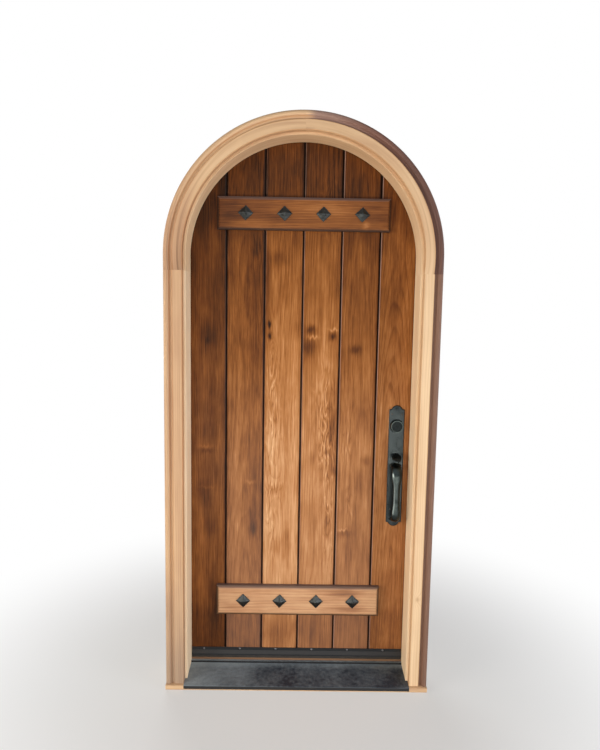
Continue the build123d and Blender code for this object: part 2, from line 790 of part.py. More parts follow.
def faceplate_body(centre, mode=Mode.ADD):
    """A faceplate let into the leaf's edge."""
    with Locations((ARCH_RADIUS, LEAF_MIDDLE, centre)):
        Box(
            FACEPLATE_THICKNESS,
            FACEPLATE_WIDTH,
            FACEPLATE_HEIGHT,
            align=(Align.MAX, Align.CENTER, Align.CENTER),
            mode=mode,
        )


def along_edge(start, length, radius, centre, mode=Mode.ADD):
    """A cylinder along X in the middle of the leaf's thickness."""
    with Locations((start, LEAF_MIDDLE, centre)):
        Cylinder(
            radius,
            length,
            rotation=(0, 90, 0),
            align=(Align.CENTER, Align.CENTER, Align.MIN),
            mode=mode,
        )


def lock_bores():
    """Cross bores, edge bores and faceplate mortises in the lock plank."""
    for centre in (LATCH_Z, DEADBOLT_Z):
        with Locations((LOCK_X, LEAF_MIDDLE, centre)):
            Cylinder(
                CROSS_BORE_RADIUS,
                2 * LEAF_THICKNESS,
                rotation=(90, 0, 0),
                mode=Mode.SUBTRACT,
            )
        along_edge(LOCK_X, BACKSET, EDGE_BORE_RADIUS, centre, mode=Mode.SUBTRACT)
        faceplate_body(centre, mode=Mode.SUBTRACT)
    through_bolt_holes(BOLT_SHANK_RADIUS)


def through_bolt_holes(radius):
    """Holes for the bolts that clamp the inside plate to the outside plate."""
    for height in BOLTS_ABOVE_LATCH:
        with Locations((LOCK_X, LEAF_MIDDLE, LATCH_Z + height)):
            Cylinder(radius, 2 * LEAF_THICKNESS, rotation=(90, 0, 0), mode=Mode.SUBTRACT)


def stud_holes(depth_from_face):
    """Holes for the studs' shanks, from the battens' face inwards."""
    for x, height in STUD_PLACES:
        with Locations((x, -BATTEN_THICKNESS, height)):
            Cylinder(
                STUD_SHANK_RADIUS,
                depth_from_face,
                rotation=(90, 0, 0),
                align=(Align.CENTER, Align.CENTER, Align.MAX),
                mode=Mode.SUBTRACT,
            )


# Planks

with BuildPart() as leaf_outline:
    with BuildSketch(upright(LEAF_THICKNESS)):
        with Locations((0, (LEAF_BOTTOM + SPRING) / 2)):
            Rectangle(LEAF_WIDTH, SPRING - LEAF_BOTTOM)
        with Locations((0, SPRING)):
            Circle(ARCH_RADIUS)
    extrude(amount=LEAF_THICKNESS)


def plank_points(index):
    """Section of a plank in X and Y, with its vees, tongue and groove."""
    left = -ARCH_RADIUS + index * PLANK_WIDTH
    right = left + PLANK_WIDTH
    groove = (TONGUE_THICKNESS + TONGUE_CLEARANCE) / 2
    groove_end = left + TONGUE_LENGTH + TONGUE_CLEARANCE
    tongue = TONGUE_THICKNESS / 2
    points = [(left, LEAF_THICKNESS), (left, 0)]
    if index > 0:
        points = [
            (left + VEE_HALF_WIDTH, LEAF_THICKNESS),
            (left, LEAF_THICKNESS - VEE_DEPTH),
            (left, LEAF_MIDDLE + groove),
            (groove_end, LEAF_MIDDLE + groove),
            (groove_end, LEAF_MIDDLE - groove),
            (left, LEAF_MIDDLE - groove),
            (left, VEE_DEPTH),
            (left + VEE_HALF_WIDTH, 0),
        ]
    if index == PLANK_COUNT - 1:
        return points + [(right, 0), (right, LEAF_THICKNESS)]
    return points + [
        (right - VEE_HALF_WIDTH, 0),
        (right, VEE_DEPTH),
        (right, LEAF_MIDDLE - tongue),
        (right + TONGUE_LENGTH, LEAF_MIDDLE - tongue),
        (right + TONGUE_LENGTH, LEAF_MIDDLE + tongue),
        (right, LEAF_MIDDLE + tongue),
        (right, LEAF_THICKNESS - VEE_DEPTH),
        (right - VEE_HALF_WIDTH, LEAF_THICKNESS),
    ]


for plank_index in range(PLANK_COUNT):
    with BuildPart() as plank:
        with BuildSketch(Plane.XY.offset(LEAF_BOTTOM)):
            Polygon(*plank_points(plank_index), align=None)
        extrude(amount=LEAF_HEIGHT)
        add(leaf_outline.part, mode=Mode.INTERSECT)
        stud_holes(STUD_SHANK_LENGTH)
        screws(SWEEP_SCREWS, SHORT_SCREW, mode=Mode.SUBTRACT)
        if plank_index == 0:
            hinge_mortises(-ARCH_RADIUS, 1)
            screws(LEAF_HINGE_SCREWS, LONG_SCREW, mode=Mode.SUBTRACT)
        if plank_index == PLANK_COUNT - 1:
            lock_bores()
            screws(FACEPLATE_SCREWS, SHORT_SCREW, mode=Mode.SUBTRACT)
            screws(PLATE_SCREWS, LONG_SCREW, mode=Mode.SUBTRACT)
    finish(plank, f"plank_{plank_index + 1}")


# Battens and studs

BATTEN_TAPER = degrees(atan(BATTEN_BEVEL_WIDTH / BATTEN_BEVEL_DEPTH))

for batten_name, batten_height in zip(("upper_batten", "lower_batten"), BATTEN_CENTRES):
    with BuildPart() as batten:
        with BuildSketch(upright(0)):
            with Locations((0, batten_height)):
                Rectangle(BATTEN_LENGTH, BATTEN_WIDTH)
        extrude(amount=BATTEN_THICKNESS - BATTEN_BEVEL_DEPTH)
        with BuildSketch(upright(BATTEN_BEVEL_DEPTH - BATTEN_THICKNESS)):
            with Locations((0, batten_height)):
                Rectangle(BATTEN_LENGTH, BATTEN_WIDTH)
        extrude(amount=BATTEN_BEVEL_DEPTH, taper=BATTEN_TAPER)
        stud_holes(STUD_SHANK_LENGTH)
    finish(batten, batten_name)


def stud_side(share):
    """Side of the stud's square at a share of its rise: concave, down to the tip."""
    return STUD_TIP + (STUD_SIDE - STUD_TIP) * (1 - share) ** 1.5


with BuildPart() as stud:
    with BuildSketch(upright(0)):
        Rectangle(STUD_SIDE, STUD_SIDE, rotation=45)
    extrude(amount=STUD_RIM)
    for share in (0, 0.25, 0.5, 0.75, 1):
        with BuildSketch(upright(-STUD_RIM - share * STUD_RISE)):
            Rectangle(stud_side(share), stud_side(share), rotation=45)
    loft(ruled=True)
    Cylinder(
        STUD_SHANK_RADIUS,
        STUD_SHANK_LENGTH,
        rotation=(90, 0, 0),
        align=(Align.CENTER, Align.CENTER, Align.MAX),
    )

with BuildPart() as studs:
    with Locations(*[(x, -BATTEN_THICKNESS, height) for x, height in STUD_PLACES]):
        add(stud.part)
finish(studs, "studs")


# Bottom sweep

SWEEP_HALF_LENGTH = STOP_RADIUS - SWEEP_END_GAP
SWEEP_LINE = [
    (0, SWEEP_HEIGHT),
    (-SWEEP_WALL, SWEEP_HEIGHT),
    (-SWEEP_WALL, SWEEP_SLOPE_TOP),
    (-SWEEP_REACH, SWEEP_SLOPE_END),
    (-SWEEP_REACH, SWEEP_LIP_BOTTOM),
    (-SWEEP_REACH + SWEEP_LIP_WALL, SWEEP_LIP_BOTTOM),
    (-SWEEP_REACH + SWEEP_LIP_WALL, SWEEP_SLOPE_END - SWEEP_LIP_WALL),
    (-SWEEP_WALL, SWEEP_SLOPE_TOP - SWEEP_LIP_WALL * 2),
    (-SWEEP_WALL, SWEEP_FOOT),
    (0, SWEEP_FOOT),
]
FIN_LINE = [
    (-SWEEP_WALL, FIN_TOP),
    (-SWEEP_WALL - FIN_THICKNESS, FIN_TOP),
    (-SWEEP_WALL - FIN_THICKNESS, SWEEP_FOOT),
    (-SWEEP_WALL - FIN_THICKNESS / 2 - FIN_TIP / 2, -FIN_REACH_BELOW),
    (-SWEEP_WALL - FIN_THICKNESS / 2 + FIN_TIP / 2, -FIN_REACH_BELOW),
    (-SWEEP_WALL, SWEEP_FOOT),
]


def sweep_piece(points):
    """Extrude a profile of the bottom sweep along the leaf's foot."""
    with BuildSketch(side_plane(-SWEEP_HALF_LENGTH)) as profile:
        with Locations((0, LEAF_BOTTOM)):
            Polygon(*points, align=None)
    extrude(profile.sketch, amount=2 * SWEEP_HALF_LENGTH)


with BuildPart() as sweep_carrier:
    sweep_piece(SWEEP_LINE)
    screws(SWEEP_SCREWS, SHORT_SCREW, mode=Mode.SUBTRACT)
finish(sweep_carrier, "sweep_carrier")

with BuildPart() as sweep_fin:
    sweep_piece(FIN_LINE)
finish(sweep_fin, "sweep_fin")

with BuildPart() as sweep_screws:
    screws(SWEEP_SCREWS, SHORT_SCREW)
finish(sweep_screws, "sweep_screws")


# Handle plates

THUMB_Z = LATCH_Z + THUMB_ABOVE_LATCH
THUMB_SWING = (THUMB_PIVOT_DEPTH + PLATE_THICKNESS) * sin(radians(THUMB_PRESS))
THUMB_SLOT_TOP = THUMB_THICKNESS / 2 + THUMB_SLOT_CLEARANCE
THUMB_SLOT_BOTTOM = THUMB_SLOT_TOP + THUMB_SWING


def plate_outline(bottom, length):
    """Long plate with a round nose standing up between shoulders at each end."""
    centre = bottom + length / 2
    with Locations((LOCK_X, centre)):
        Rectangle(PLATE_WIDTH, length - 2 * PLATE_SHOULDER)
    reach = length / 2 - PLATE_NOSE_RADIUS
    with Locations((LOCK_X, centre - reach), (LOCK_X, centre + reach)):
        Circle(PLATE_NOSE_RADIUS)


def bevel_front(builder, sharp_face):
    """Round the shoulders and bevel the front edges of a plate."""
    fillet(builder.edges().filter_by(Axis.Y), radius=PLATE_ROUND)
    front = builder.faces().sort_by(Axis.Y)[sharp_face]
    chamfer(front.outer_wire().edges(), length=PLATE_BEVEL)


def ears(mode=Mode.ADD):
    """The two ears behind the outside plate that hold the thumb piece's pin."""
    offset = THUMB_BARREL_LENGTH / 2 + THUMB_EAR_GAP + THUMB_EAR / 2
    for side in (-1, 1):
        with Locations((LOCK_X + side * offset, 0, THUMB_Z)):
            Box(
                THUMB_EAR,
                THUMB_PIVOT_DEPTH + THUMB_BARREL_RADIUS,
                2 * THUMB_BARREL_RADIUS,
                align=(Align.CENTER, Align.MIN, Align.CENTER),
                mode=mode,
            )


with BuildPart() as outside_plate:
    with BuildSketch(upright(0)):
        plate_outline(PLATE_BOTTOM, PLATE_TOP - PLATE_BOTTOM)
    extrude(amount=PLATE_THICKNESS)
    bevel_front(outside_plate, 0)
    ears()
    with Locations((LOCK_X, THUMB_PIVOT_DEPTH, THUMB_Z)):
        Cylinder(THUMB_PIN_RADIUS, PLATE_WIDTH, rotation=(0, 90, 0), mode=Mode.SUBTRACT)
    with Locations((LOCK_X, -PLATE_THICKNESS, THUMB_Z - (THUMB_SLOT_BOTTOM - THUMB_SLOT_TOP) / 2)):
        Box(
            THUMB_NECK_WIDTH + 2 * THUMB_SLOT_CLEARANCE,
            PLATE_THICKNESS,
            THUMB_SLOT_BOTTOM + THUMB_SLOT_TOP,
            align=(Align.CENTER, Align.MIN, Align.CENTER),
            mode=Mode.SUBTRACT,
        )
    with Locations((LOCK_X, 0, DEADBOLT_Z)):
        Cylinder(CYLINDER_RADIUS, 4 * PLATE_THICKNESS, rotation=(90, 0, 0), mode=Mode.SUBTRACT)
    screws(PLATE_SCREWS, LONG_SCREW, mode=Mode.SUBTRACT)
finish(outside_plate, "outside_plate")

with BuildPart() as plate_screws:
    screws(PLATE_SCREWS, LONG_SCREW)
finish(plate_screws, "plate_screws")

with BuildPart() as inside_plate:
    with BuildSketch(upright(INSIDE_FACE)):
        plate_outline(INSIDE_PLATE_BOTTOM, INSIDE_PLATE_LENGTH)
    extrude(amount=INSIDE_PLATE_THICKNESS)
    bevel_front(inside_plate, -1)
    for hub_height, hub_radius in ((LATCH_Z, SPINDLE_RADIUS), (DEADBOLT_Z, TAIL_BAR_RADIUS)):
        with Locations((LOCK_X, LEAF_THICKNESS, hub_height)):
            Cylinder(
                hub_radius + HUB_PLAY,
                4 * INSIDE_PLATE_THICKNESS,
                rotation=(90, 0, 0),
                mode=Mode.SUBTRACT,
            )
    through_bolt_holes(BOLT_SHANK_RADIUS)
finish(inside_plate, "inside_plate")

with BuildPart() as through_bolts:
    for bolt_height in BOLTS_ABOVE_LATCH:
        with Locations((LOCK_X, INSIDE_FACE, LATCH_Z + bolt_height)):
            Cylinder(
                BOLT_SHANK_RADIUS,
                INSIDE_FACE,
                rotation=(90, 0, 0),
                align=(Align.CENTER, Align.CENTER, Align.MIN),
            )
            Cylinder(
                BOLT_HEAD_RADIUS,
                BOLT_HEAD_DEPTH,
                rotation=(90, 0, 0),
                align=(Align.CENTER, Align.CENTER, Align.MAX),
            )
finish(through_bolts, "through_bolts")


# Grip

GRIP_TOP_Z = LATCH_Z - GRIP_BELOW_LATCH
GRIP_BOTTOM_Z = GRIP_TOP_Z - GRIP_LENGTH
GRIP_FRONT = -PLATE_THICKNESS - GRIP_REACH
GRIP_ARM_END = GRIP_FRONT + GRIP_BEND
GRIP_BAR_TOP = GRIP_TOP_Z - GRIP_BEND
GRIP_BAR_LENGTH = GRIP_BAR_TOP - GRIP_BOTTOM_Z - GRIP_BEND


def grip_half_width(share):
    """Half the bar's width at a share of its length: a waist that flares at both ends."""
    end = GRIP_TOP_HALF_WIDTH if share < 0.5 else GRIP_BOTTOM_HALF_WIDTH
    flare = (0.5 + 0.5 * cos(2 * pi * share)) ** GRIP_FLARE_POWER
    return GRIP_WAIST + (end - GRIP_WAIST) * flare


def grip_arm(height, half_width, pivot_height, turn):
    """A flared foot on the plate, the arm and the bend into the bar."""
    sections = []
    for depth, growth in (
        (-PLATE_THICKNESS, GRIP_PAD_GROWTH),
        (-PLATE_THICKNESS - GRIP_PAD_DEPTH, 0),
        (GRIP_ARM_END, 0),
    ):
        with BuildSketch(upright(depth)) as section:
            with Locations((LOCK_X, height)):
                Ellipse(half_width + growth, GRIP_HALF_DEPTH + growth)
        sections.append(section.sketch)
    loft(sections=sections[:2])
    loft(sections=sections[1:])
    revolve(
        sections[-1],
        axis=Axis((LOCK_X, GRIP_ARM_END, pivot_height), (turn, 0, 0)),
        revolution_arc=90,
    )


with BuildPart() as grip:
    for index in range(GRIP_SECTIONS):
        share = index / (GRIP_SECTIONS - 1)
        with BuildSketch(Plane.XY.offset(GRIP_BAR_TOP - share * GRIP_BAR_LENGTH)):
            with Locations((LOCK_X, GRIP_FRONT)):
                Ellipse(grip_half_width(share), GRIP_HALF_DEPTH)
    loft()
    grip_arm(GRIP_TOP_Z, GRIP_TOP_HALF_WIDTH, GRIP_BAR_TOP, 1)
    grip_arm(GRIP_BOTTOM_Z, GRIP_BOTTOM_HALF_WIDTH, GRIP_BOTTOM_Z + GRIP_BEND, -1)
finish(grip, "grip")


# Thumb piece

THUMB_TIP = -PLATE_THICKNESS - THUMB_REACH
THUMB_ROOT = -PLATE_THICKNESS - THUMB_SLOT_CLEARANCE
THUMB_SAG = (THUMB_ROOT + THUMB_TIP) / 2

with BuildPart() as thumb_piece:
    with BuildSketch(side_plane(LOCK_X)):
        half = THUMB_THICKNESS / 2
        tail_end = THUMB_PIVOT_DEPTH + THUMB_TAIL
        low_tip = THUMB_Z - THUMB_DROP
        with BuildLine():
            Polyline(
                (THUMB_ROOT, THUMB_Z - half),
                (tail_end, THUMB_Z - half),
                (tail_end, THUMB_Z + half),
                (THUMB_ROOT, THUMB_Z + half),
            )
            ThreePointArc(
                (THUMB_ROOT, THUMB_Z + half),
                (THUMB_SAG, THUMB_Z - THUMB_DROP / 3 + half),
                (THUMB_TIP, low_tip + half),
            )
            Line((THUMB_TIP, low_tip + half), (THUMB_TIP, low_tip - half))
            ThreePointArc(
                (THUMB_TIP, low_tip - half),
                (THUMB_SAG, THUMB_Z - THUMB_DROP / 3 - half),
                (THUMB_ROOT, THUMB_Z - half),
            )
        make_face()
    extrude(amount=THUMB_WIDTH / 2, both=True)
    with BuildSketch(Plane.XY.offset(THUMB_Z - 2 * THUMB_DROP)):
        with Locations((LOCK_X, THUMB_TIP + THUMB_WIDTH / 2)):
            Circle(THUMB_WIDTH / 2)
            Rectangle(
                THUMB_NECK_WIDTH,
                THUMB_REACH + PLATE_THICKNESS + THUMB_PIVOT_DEPTH + THUMB_TAIL,
                align=(Align.CENTER, Align.MIN),
            )
    extrude(amount=4 * THUMB_DROP, mode=Mode.INTERSECT)
    with Locations((LOCK_X, THUMB_PIVOT_DEPTH, THUMB_Z)):
        Cylinder(THUMB_BARREL_RADIUS, THUMB_BARREL_LENGTH, rotation=(0, 90, 0))
        Cylinder(
            THUMB_PIN_RADIUS + THUMB_PIN_CLEARANCE,
            PLATE_WIDTH,
            rotation=(0, 90, 0),
            mode=Mode.SUBTRACT,
        )
finish(thumb_piece, "thumb_piece")

with BuildPart() as thumb_pin:
    with Locations((LOCK_X, THUMB_PIVOT_DEPTH, THUMB_Z)):
        Cylinder(
            THUMB_PIN_RADIUS,
            THUMB_BARREL_LENGTH + 2 * (THUMB_EAR_GAP + THUMB_EAR),
            rotation=(0, 90, 0),
        )
finish(thumb_pin, "thumb_pin")


# Cylinder, its collar and the key plug

COLLAR_FACE = -PLATE_THICKNESS - COLLAR_DEPTH
CYLINDER_FACE = COLLAR_FACE + CYLINDER_RECESS
CYLINDER_LENGTH = CYLINDER_TAIL - CYLINDER_FACE


def towards_inside(radius, start, length, height, mode=Mode.ADD):
    """A cylinder along Y on the lock's centre line, from a depth inwards."""
    with Locations((LOCK_X, start, height)):
        Cylinder(
            radius,
            length,
            rotation=(90, 0, 0),
            align=(Align.CENTER, Align.CENTER, Align.MAX),
            mode=mode,
        )


with BuildPart() as cylinder_collar:
    with Locations((LOCK_X, -PLATE_THICKNESS, DEADBOLT_Z)):
        Cone(
            COLLAR_BASE_RADIUS,
            COLLAR_FACE_RADIUS,
            COLLAR_DEPTH,
            rotation=(90, 0, 0),
            align=(Align.CENTER, Align.CENTER, Align.MIN),
        )
    bore = CYLINDER_RADIUS + COLLAR_CLEARANCE
    towards_inside(bore, COLLAR_FACE, COLLAR_DEPTH, DEADBOLT_Z, mode=Mode.SUBTRACT)
finish(cylinder_collar, "cylinder_collar")

with BuildPart() as lock_cylinder:
    towards_inside(CYLINDER_RADIUS, CYLINDER_FACE, CYLINDER_LENGTH, DEADBOLT_Z)
    towards_inside(
        PLUG_RADIUS + PLUG_CLEARANCE,
        CYLINDER_FACE,
        CYLINDER_LENGTH,
        DEADBOLT_Z,
        mode=Mode.SUBTRACT,
    )
finish(lock_cylinder, "lock_cylinder")

with BuildPart() as key_plug:
    towards_inside(PLUG_RADIUS, CYLINDER_FACE, CYLINDER_LENGTH, DEADBOLT_Z)
    with Locations((LOCK_X, CYLINDER_FACE, DEADBOLT_Z)):
        Box(
            KEYWAY_WIDTH,
            KEYWAY_DEPTH,
            KEYWAY_HEIGHT,
            align=(Align.CENTER, Align.MIN, Align.CENTER),
            mode=Mode.SUBTRACT,
        )
finish(key_plug, "key_plug")


# Cases, faceplates, bolts and their drives

CASE_START = LOCK_X + CROSS_BORE_RADIUS
CASE_END = ARCH_RADIUS - FACEPLATE_THICKNESS
YOKE_NEAR = LEAF_MIDDLE - YOKE_THICKNESS / 2
YOKE_FAR = LEAF_MIDDLE + YOKE_THICKNESS / 2
CAM_NEAR = LEAF_MIDDLE + CAM_OFFSET
CAM_FAR = CAM_NEAR + CAM_THICKNESS


def tubular_case(centre, hub_radius):
    """Tube in the edge bore, with two cheeks that carry the hub."""
    along_edge(CASE_START, CASE_END - CASE_START, CASE_RADIUS, centre)
    cheek = BOLT_RADIUS + CASE_CHEEK_PLAY
    for side in (-1, 1):
        with Locations((LOCK_X - CASE_CHEEK_TAIL, LEAF_MIDDLE + side * cheek, centre)):
            Box(
                CASE_START + CASE_OVERLAP - LOCK_X + CASE_CHEEK_TAIL,
                CASE_WALL,
                2 * CASE_CHEEK_HALF_HEIGHT,
                align=(Align.MIN, Align.MIN if side > 0 else Align.MAX, Align.CENTER),
            )
    along_edge(
        CASE_START, CASE_END - CASE_START, CASE_RADIUS - CASE_WALL, centre, mode=Mode.SUBTRACT
    )
    towards_inside(hub_radius + HUB_PLAY, 0, LEAF_THICKNESS, centre, mode=Mode.SUBTRACT)


def faceplate(centre):
    """A faceplate with its bolt hole and screw holes."""
    faceplate_body(centre)
    along_edge(
        CASE_END, FACEPLATE_THICKNESS, BOLT_RADIUS + HUB_PLAY, centre, mode=Mode.SUBTRACT
    )
    screws(FACEPLATE_SCREWS, SHORT_SCREW, mode=Mode.SUBTRACT)


def drive_pin_place(throw, turn):
    """Offset of the drive pin from the hub, with the bolt drawn."""
    reach = throw / 2 / sin(radians(turn / 2))
    return (-throw / 2, reach * cos(radians(turn / 2)), reach)


def yoke(centre, throw, turn, rod_start, hub_radius):
    """Forked plate behind the bolt, with the slot that the drive pin works in."""
    pin_x, pin_z, reach = drive_pin_place(throw, turn)
    slot_half = DRIVE_PIN_RADIUS + DRIVE_PIN_PLAY
    slot_top = reach + slot_half
    tail = pin_x - slot_half - YOKE_WALL
    with BuildSketch(upright(YOKE_FAR)) as plate:
        with Locations((LOCK_X + tail, centre)):
            Rectangle(
                rod_start - LOCK_X - tail,
                2 * YOKE_HALF_HEIGHT,
                align=(Align.MIN, Align.CENTER),
            )
        with Locations((LOCK_X + pin_x, centre)):
            Rectangle(
                2 * (slot_half + YOKE_WALL),
                slot_top + YOKE_WALL,
                align=(Align.CENTER, Align.MIN),
            )
        chamfer(plate.vertices().group_by(Axis.Y)[-1], length=YOKE_CORNER)
        with Locations((LOCK_X + pin_x, centre + pin_z - slot_half)):
            Rectangle(
                2 * slot_half,
                slot_top - pin_z + slot_half,
                align=(Align.CENTER, Align.MIN),
                mode=Mode.SUBTRACT,
            )
        with Locations((LOCK_X + 2 * tail, centre)):
            Rectangle(
                hub_radius + 2 * HUB_PLAY - 2 * tail,
                2 * (hub_radius + HUB_PLAY),
                align=(Align.MIN, Align.CENTER),
                mode=Mode.SUBTRACT,
            )
    extrude(plate.sketch, amount=YOKE_THICKNESS)


def cam(centre, throw, turn, hub_radius, start):
    """Shaft with a lever and the drive pin that works in the yoke."""
    pin_x, pin_z, reach = drive_pin_place(throw, turn)
    towards_inside(hub_radius, start, INSIDE_FACE + ROSE_GAP - start, centre)
    with BuildSketch(upright(CAM_FAR)) as lever:
        with Locations((LOCK_X, centre)):
            Circle(CAM_HUB_RADIUS)
            with Locations(Location((0, 0, 0), (0, 0, turn / 2))):
                Rectangle(4 * DRIVE_PIN_RADIUS, reach, align=(Align.CENTER, Align.MIN))
        with Locations((LOCK_X + pin_x, centre + pin_z)):
            Circle(2 * DRIVE_PIN_RADIUS)
    extrude(lever.sketch, amount=CAM_THICKNESS)
    with Locations((LOCK_X + pin_x, CAM_NEAR, centre + pin_z)):
        Cylinder(
            DRIVE_PIN_RADIUS,
            CAM_NEAR - YOKE_NEAR,
            rotation=(90, 0, 0),
            align=(Align.CENTER, Align.CENTER, Align.MIN),
        )


with BuildPart() as latch_case:
    tubular_case(LATCH_Z, SPINDLE_RADIUS)
finish(latch_case, "latch_case")

with BuildPart() as deadbolt_case:
    tubular_case(DEADBOLT_Z, TAIL_BAR_RADIUS)
finish(deadbolt_case, "deadbolt_case")

with BuildPart() as latch_faceplate:
    faceplate(LATCH_Z)
finish(latch_faceplate, "latch_faceplate")

with BuildPart() as deadbolt_faceplate:
    faceplate(DEADBOLT_Z)
finish(deadbolt_faceplate, "deadbolt_faceplate")

with BuildPart() as faceplate_screws:
    screws(FACEPLATE_SCREWS, SHORT_SCREW)
finish(faceplate_screws, "faceplate_screws")

with BuildPart() as latch_bolt:
    along_edge(ARCH_RADIUS - LATCH_ROD, LATCH_ROD, BOLT_RADIUS, LATCH_Z)
    with BuildSketch(Plane.XY.offset(LATCH_Z)):
        with BuildLine():
            Polyline(
                (ARCH_RADIUS - LATCH_THROW, LEAF_MIDDLE - BOLT_RADIUS),
                (ARCH_RADIUS, LEAF_MIDDLE + BOLT_RADIUS / 2),
                (ARCH_RADIUS, LEAF_MIDDLE - BOLT_RADIUS),
                close=True,
            )
        make_face()
    extrude(amount=BOLT_RADIUS, both=True, mode=Mode.SUBTRACT)
    yoke(LATCH_Z, LATCH_THROW, LATCH_TURN, ARCH_RADIUS - LATCH_ROD, SPINDLE_RADIUS)
finish(latch_bolt, "latch_bolt")

with BuildPart() as deadbolt_bolt:
    along_edge(ARCH_RADIUS - DEADBOLT_ROD, DEADBOLT_ROD, BOLT_RADIUS, DEADBOLT_Z)
    yoke(DEADBOLT_Z, DEADBOLT_THROW, DEADBOLT_TURN, ARCH_RADIUS - DEADBOLT_ROD, TAIL_BAR_RADIUS)
finish(deadbolt_bolt, "deadbolt_bolt")

with BuildPart() as latch_spindle:
    cam(LATCH_Z, LATCH_THROW, LATCH_TURN, SPINDLE_RADIUS, SPINDLE_START)
finish(latch_spindle, "latch_spindle")

with BuildPart() as deadbolt_tail:
    cam(
        DEADBOLT_Z,
        DEADBOLT_THROW,
        DEADBOLT_TURN,
        TAIL_BAR_RADIUS,
        CYLINDER_TAIL + TAIL_BAR_GAP,
    )
finish(deadbolt_tail, "deadbolt_tail")


# Inside knob and turn piece

KNOB_START = INSIDE_FACE + ROSE_GAP

with BuildPart() as inside_knob:
    with BuildSketch(Plane.XY.offset(LATCH_Z)):
        neck_end = KNOB_START + KNOB_NECK_LENGTH
        widest = (neck_end + KNOB_START + KNOB_LENGTH) / 2
        with BuildLine():
            Polyline(
                (LOCK_X, KNOB_START + KNOB_LENGTH),
                (LOCK_X, KNOB_START),
                (LOCK_X + KNOB_COLLAR_RADIUS, KNOB_START),
            )
            ThreePointArc(
                (LOCK_X + KNOB_COLLAR_RADIUS, KNOB_START),
                (LOCK_X + KNOB_NECK_RADIUS, (KNOB_START + neck_end) / 2),
                (LOCK_X + KNOB_COLLAR_RADIUS, neck_end),
            )
            Spline(
                (LOCK_X + KNOB_COLLAR_RADIUS, neck_end),
                (LOCK_X + KNOB_RADIUS, widest),
                (LOCK_X, KNOB_START + KNOB_LENGTH),
                tangents=[(1, 0.5), (-1, 0)],
            )
        make_face()
    revolve(axis=Axis((LOCK_X, 0, LATCH_Z), (0, 1, 0)))
finish(inside_knob, "inside_knob")

with BuildPart() as turn_piece:
    towards_inside(TURN_BASE_RADIUS, KNOB_START, TURN_BASE_LENGTH, DEADBOLT_Z)
    with BuildSketch(upright(KNOB_START + TURN_BASE_LENGTH)):
        with Locations((LOCK_X, DEADBOLT_Z)):
            SlotOverall(TURN_WING_HEIGHT, TURN_WING_THICKNESS, rotation=90)
    extrude(amount=-TURN_WING_LENGTH)
finish(turn_piece, "turn_piece")
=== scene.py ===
"""Finishes, forged studs, screw heads, lamps and camera for the arched plank door."""

import math

import bpy
from mathutils import Matrix, Vector


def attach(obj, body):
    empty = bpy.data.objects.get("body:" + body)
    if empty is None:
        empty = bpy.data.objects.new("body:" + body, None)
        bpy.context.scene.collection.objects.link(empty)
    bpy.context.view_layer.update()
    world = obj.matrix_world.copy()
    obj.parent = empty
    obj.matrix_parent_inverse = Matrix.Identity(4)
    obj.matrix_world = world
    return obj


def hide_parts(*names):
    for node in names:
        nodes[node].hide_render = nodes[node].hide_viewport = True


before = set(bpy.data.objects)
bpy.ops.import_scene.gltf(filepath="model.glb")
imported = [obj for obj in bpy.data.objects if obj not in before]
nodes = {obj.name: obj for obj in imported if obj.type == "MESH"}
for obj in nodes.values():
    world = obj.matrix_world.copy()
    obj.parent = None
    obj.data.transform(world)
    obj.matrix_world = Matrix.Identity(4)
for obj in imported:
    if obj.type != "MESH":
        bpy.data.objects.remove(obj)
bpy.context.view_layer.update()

# Sizes are in metres, as in the frame
SPRING = 1.734
ARCH_GRAIN_RADIUS = 0.49
PLANK_WIDTH = 0.15233
LEAF_MIDDLE = 0.0285
BATTEN_FACE = -0.023

# Heights between which the leaf's tone changes
UPWARD_DARKENING_FROM, UPWARD_DARKENING_TO = 0.95, 1.75
UNDER_ARCH_FROM, UNDER_ARCH_TO = 1.72, 2.02
FOOT_FROM, FOOT_TO = 0.30, 0.24
DUST_FROM, DUST_TO = 1.3, 0.3

# Stain pooled in grooves and bevels, darkened further as painted shade
POOLED_STAIN_AND_SHADE = "#140a06"
# A painted highlight on the groove walls near the face
PAINTED_ARRIS_HIGHLIGHT = "#c39a88"
SETTLED_DUST = "#a8a09d"
GREYED_STAIN = "#857370"
# Painted shade in the moulding's creases
QUIRK_SHADE = "#b07a48"
SPLASHED_DIRT = "#857d74"


def linear(colour):
    """An sRGB hex colour as linear red, green, blue and alpha."""
    channels = [int(colour[i : i + 2], 16) / 255 for i in (1, 3, 5)]
    return (
        *(c / 12.92 if c <= 0.04045 else ((c + 0.055) / 1.055) ** 2.4 for c in channels),
        1.0,
    )


def add(tree, kind, inputs=None, stops=None, **settings):
    """Add a node with its settings, its inputs as values or sockets, and its ramp's stops."""
    node = tree.nodes.new("ShaderNode" + kind)
    for setting, value in settings.items():
        setattr(node, setting, value)
    for socket, value in (inputs or {}).items():
        if isinstance(value, bpy.types.NodeSocket):
            tree.links.new(value, node.inputs[socket])
        else:
            node.inputs[socket].default_value = value
    if stops:
        elements = node.color_ramp.elements
        while len(elements) < len(stops):
            elements.new(0.5)
        for element, (position, colour) in zip(elements, stops):
            element.position = position
            element.color = linear(colour)
    return node


def new_material(name):
    """A material with an empty tree, and its tree."""
    material = bpy.data.materials.new(name)
    material.use_nodes = True
    material.node_tree.nodes.clear()
    return material, material.node_tree


def finish_with(tree, shader):
    """Send a shader to the material's output."""
    add(tree, "OutputMaterial", {"Surface": shader.outputs[0]})


def dress(material, *names):
    """Give CAD nodes a material in each of their slots."""
    for name in names:
        mesh = nodes[name].data
        if not mesh.materials:
            mesh.materials.append(material)
        for slot in range(len(mesh.materials)):
            mesh.materials[slot] = material


# Wood. A board has three coordinates in metres: across it, into it, and along its grain.


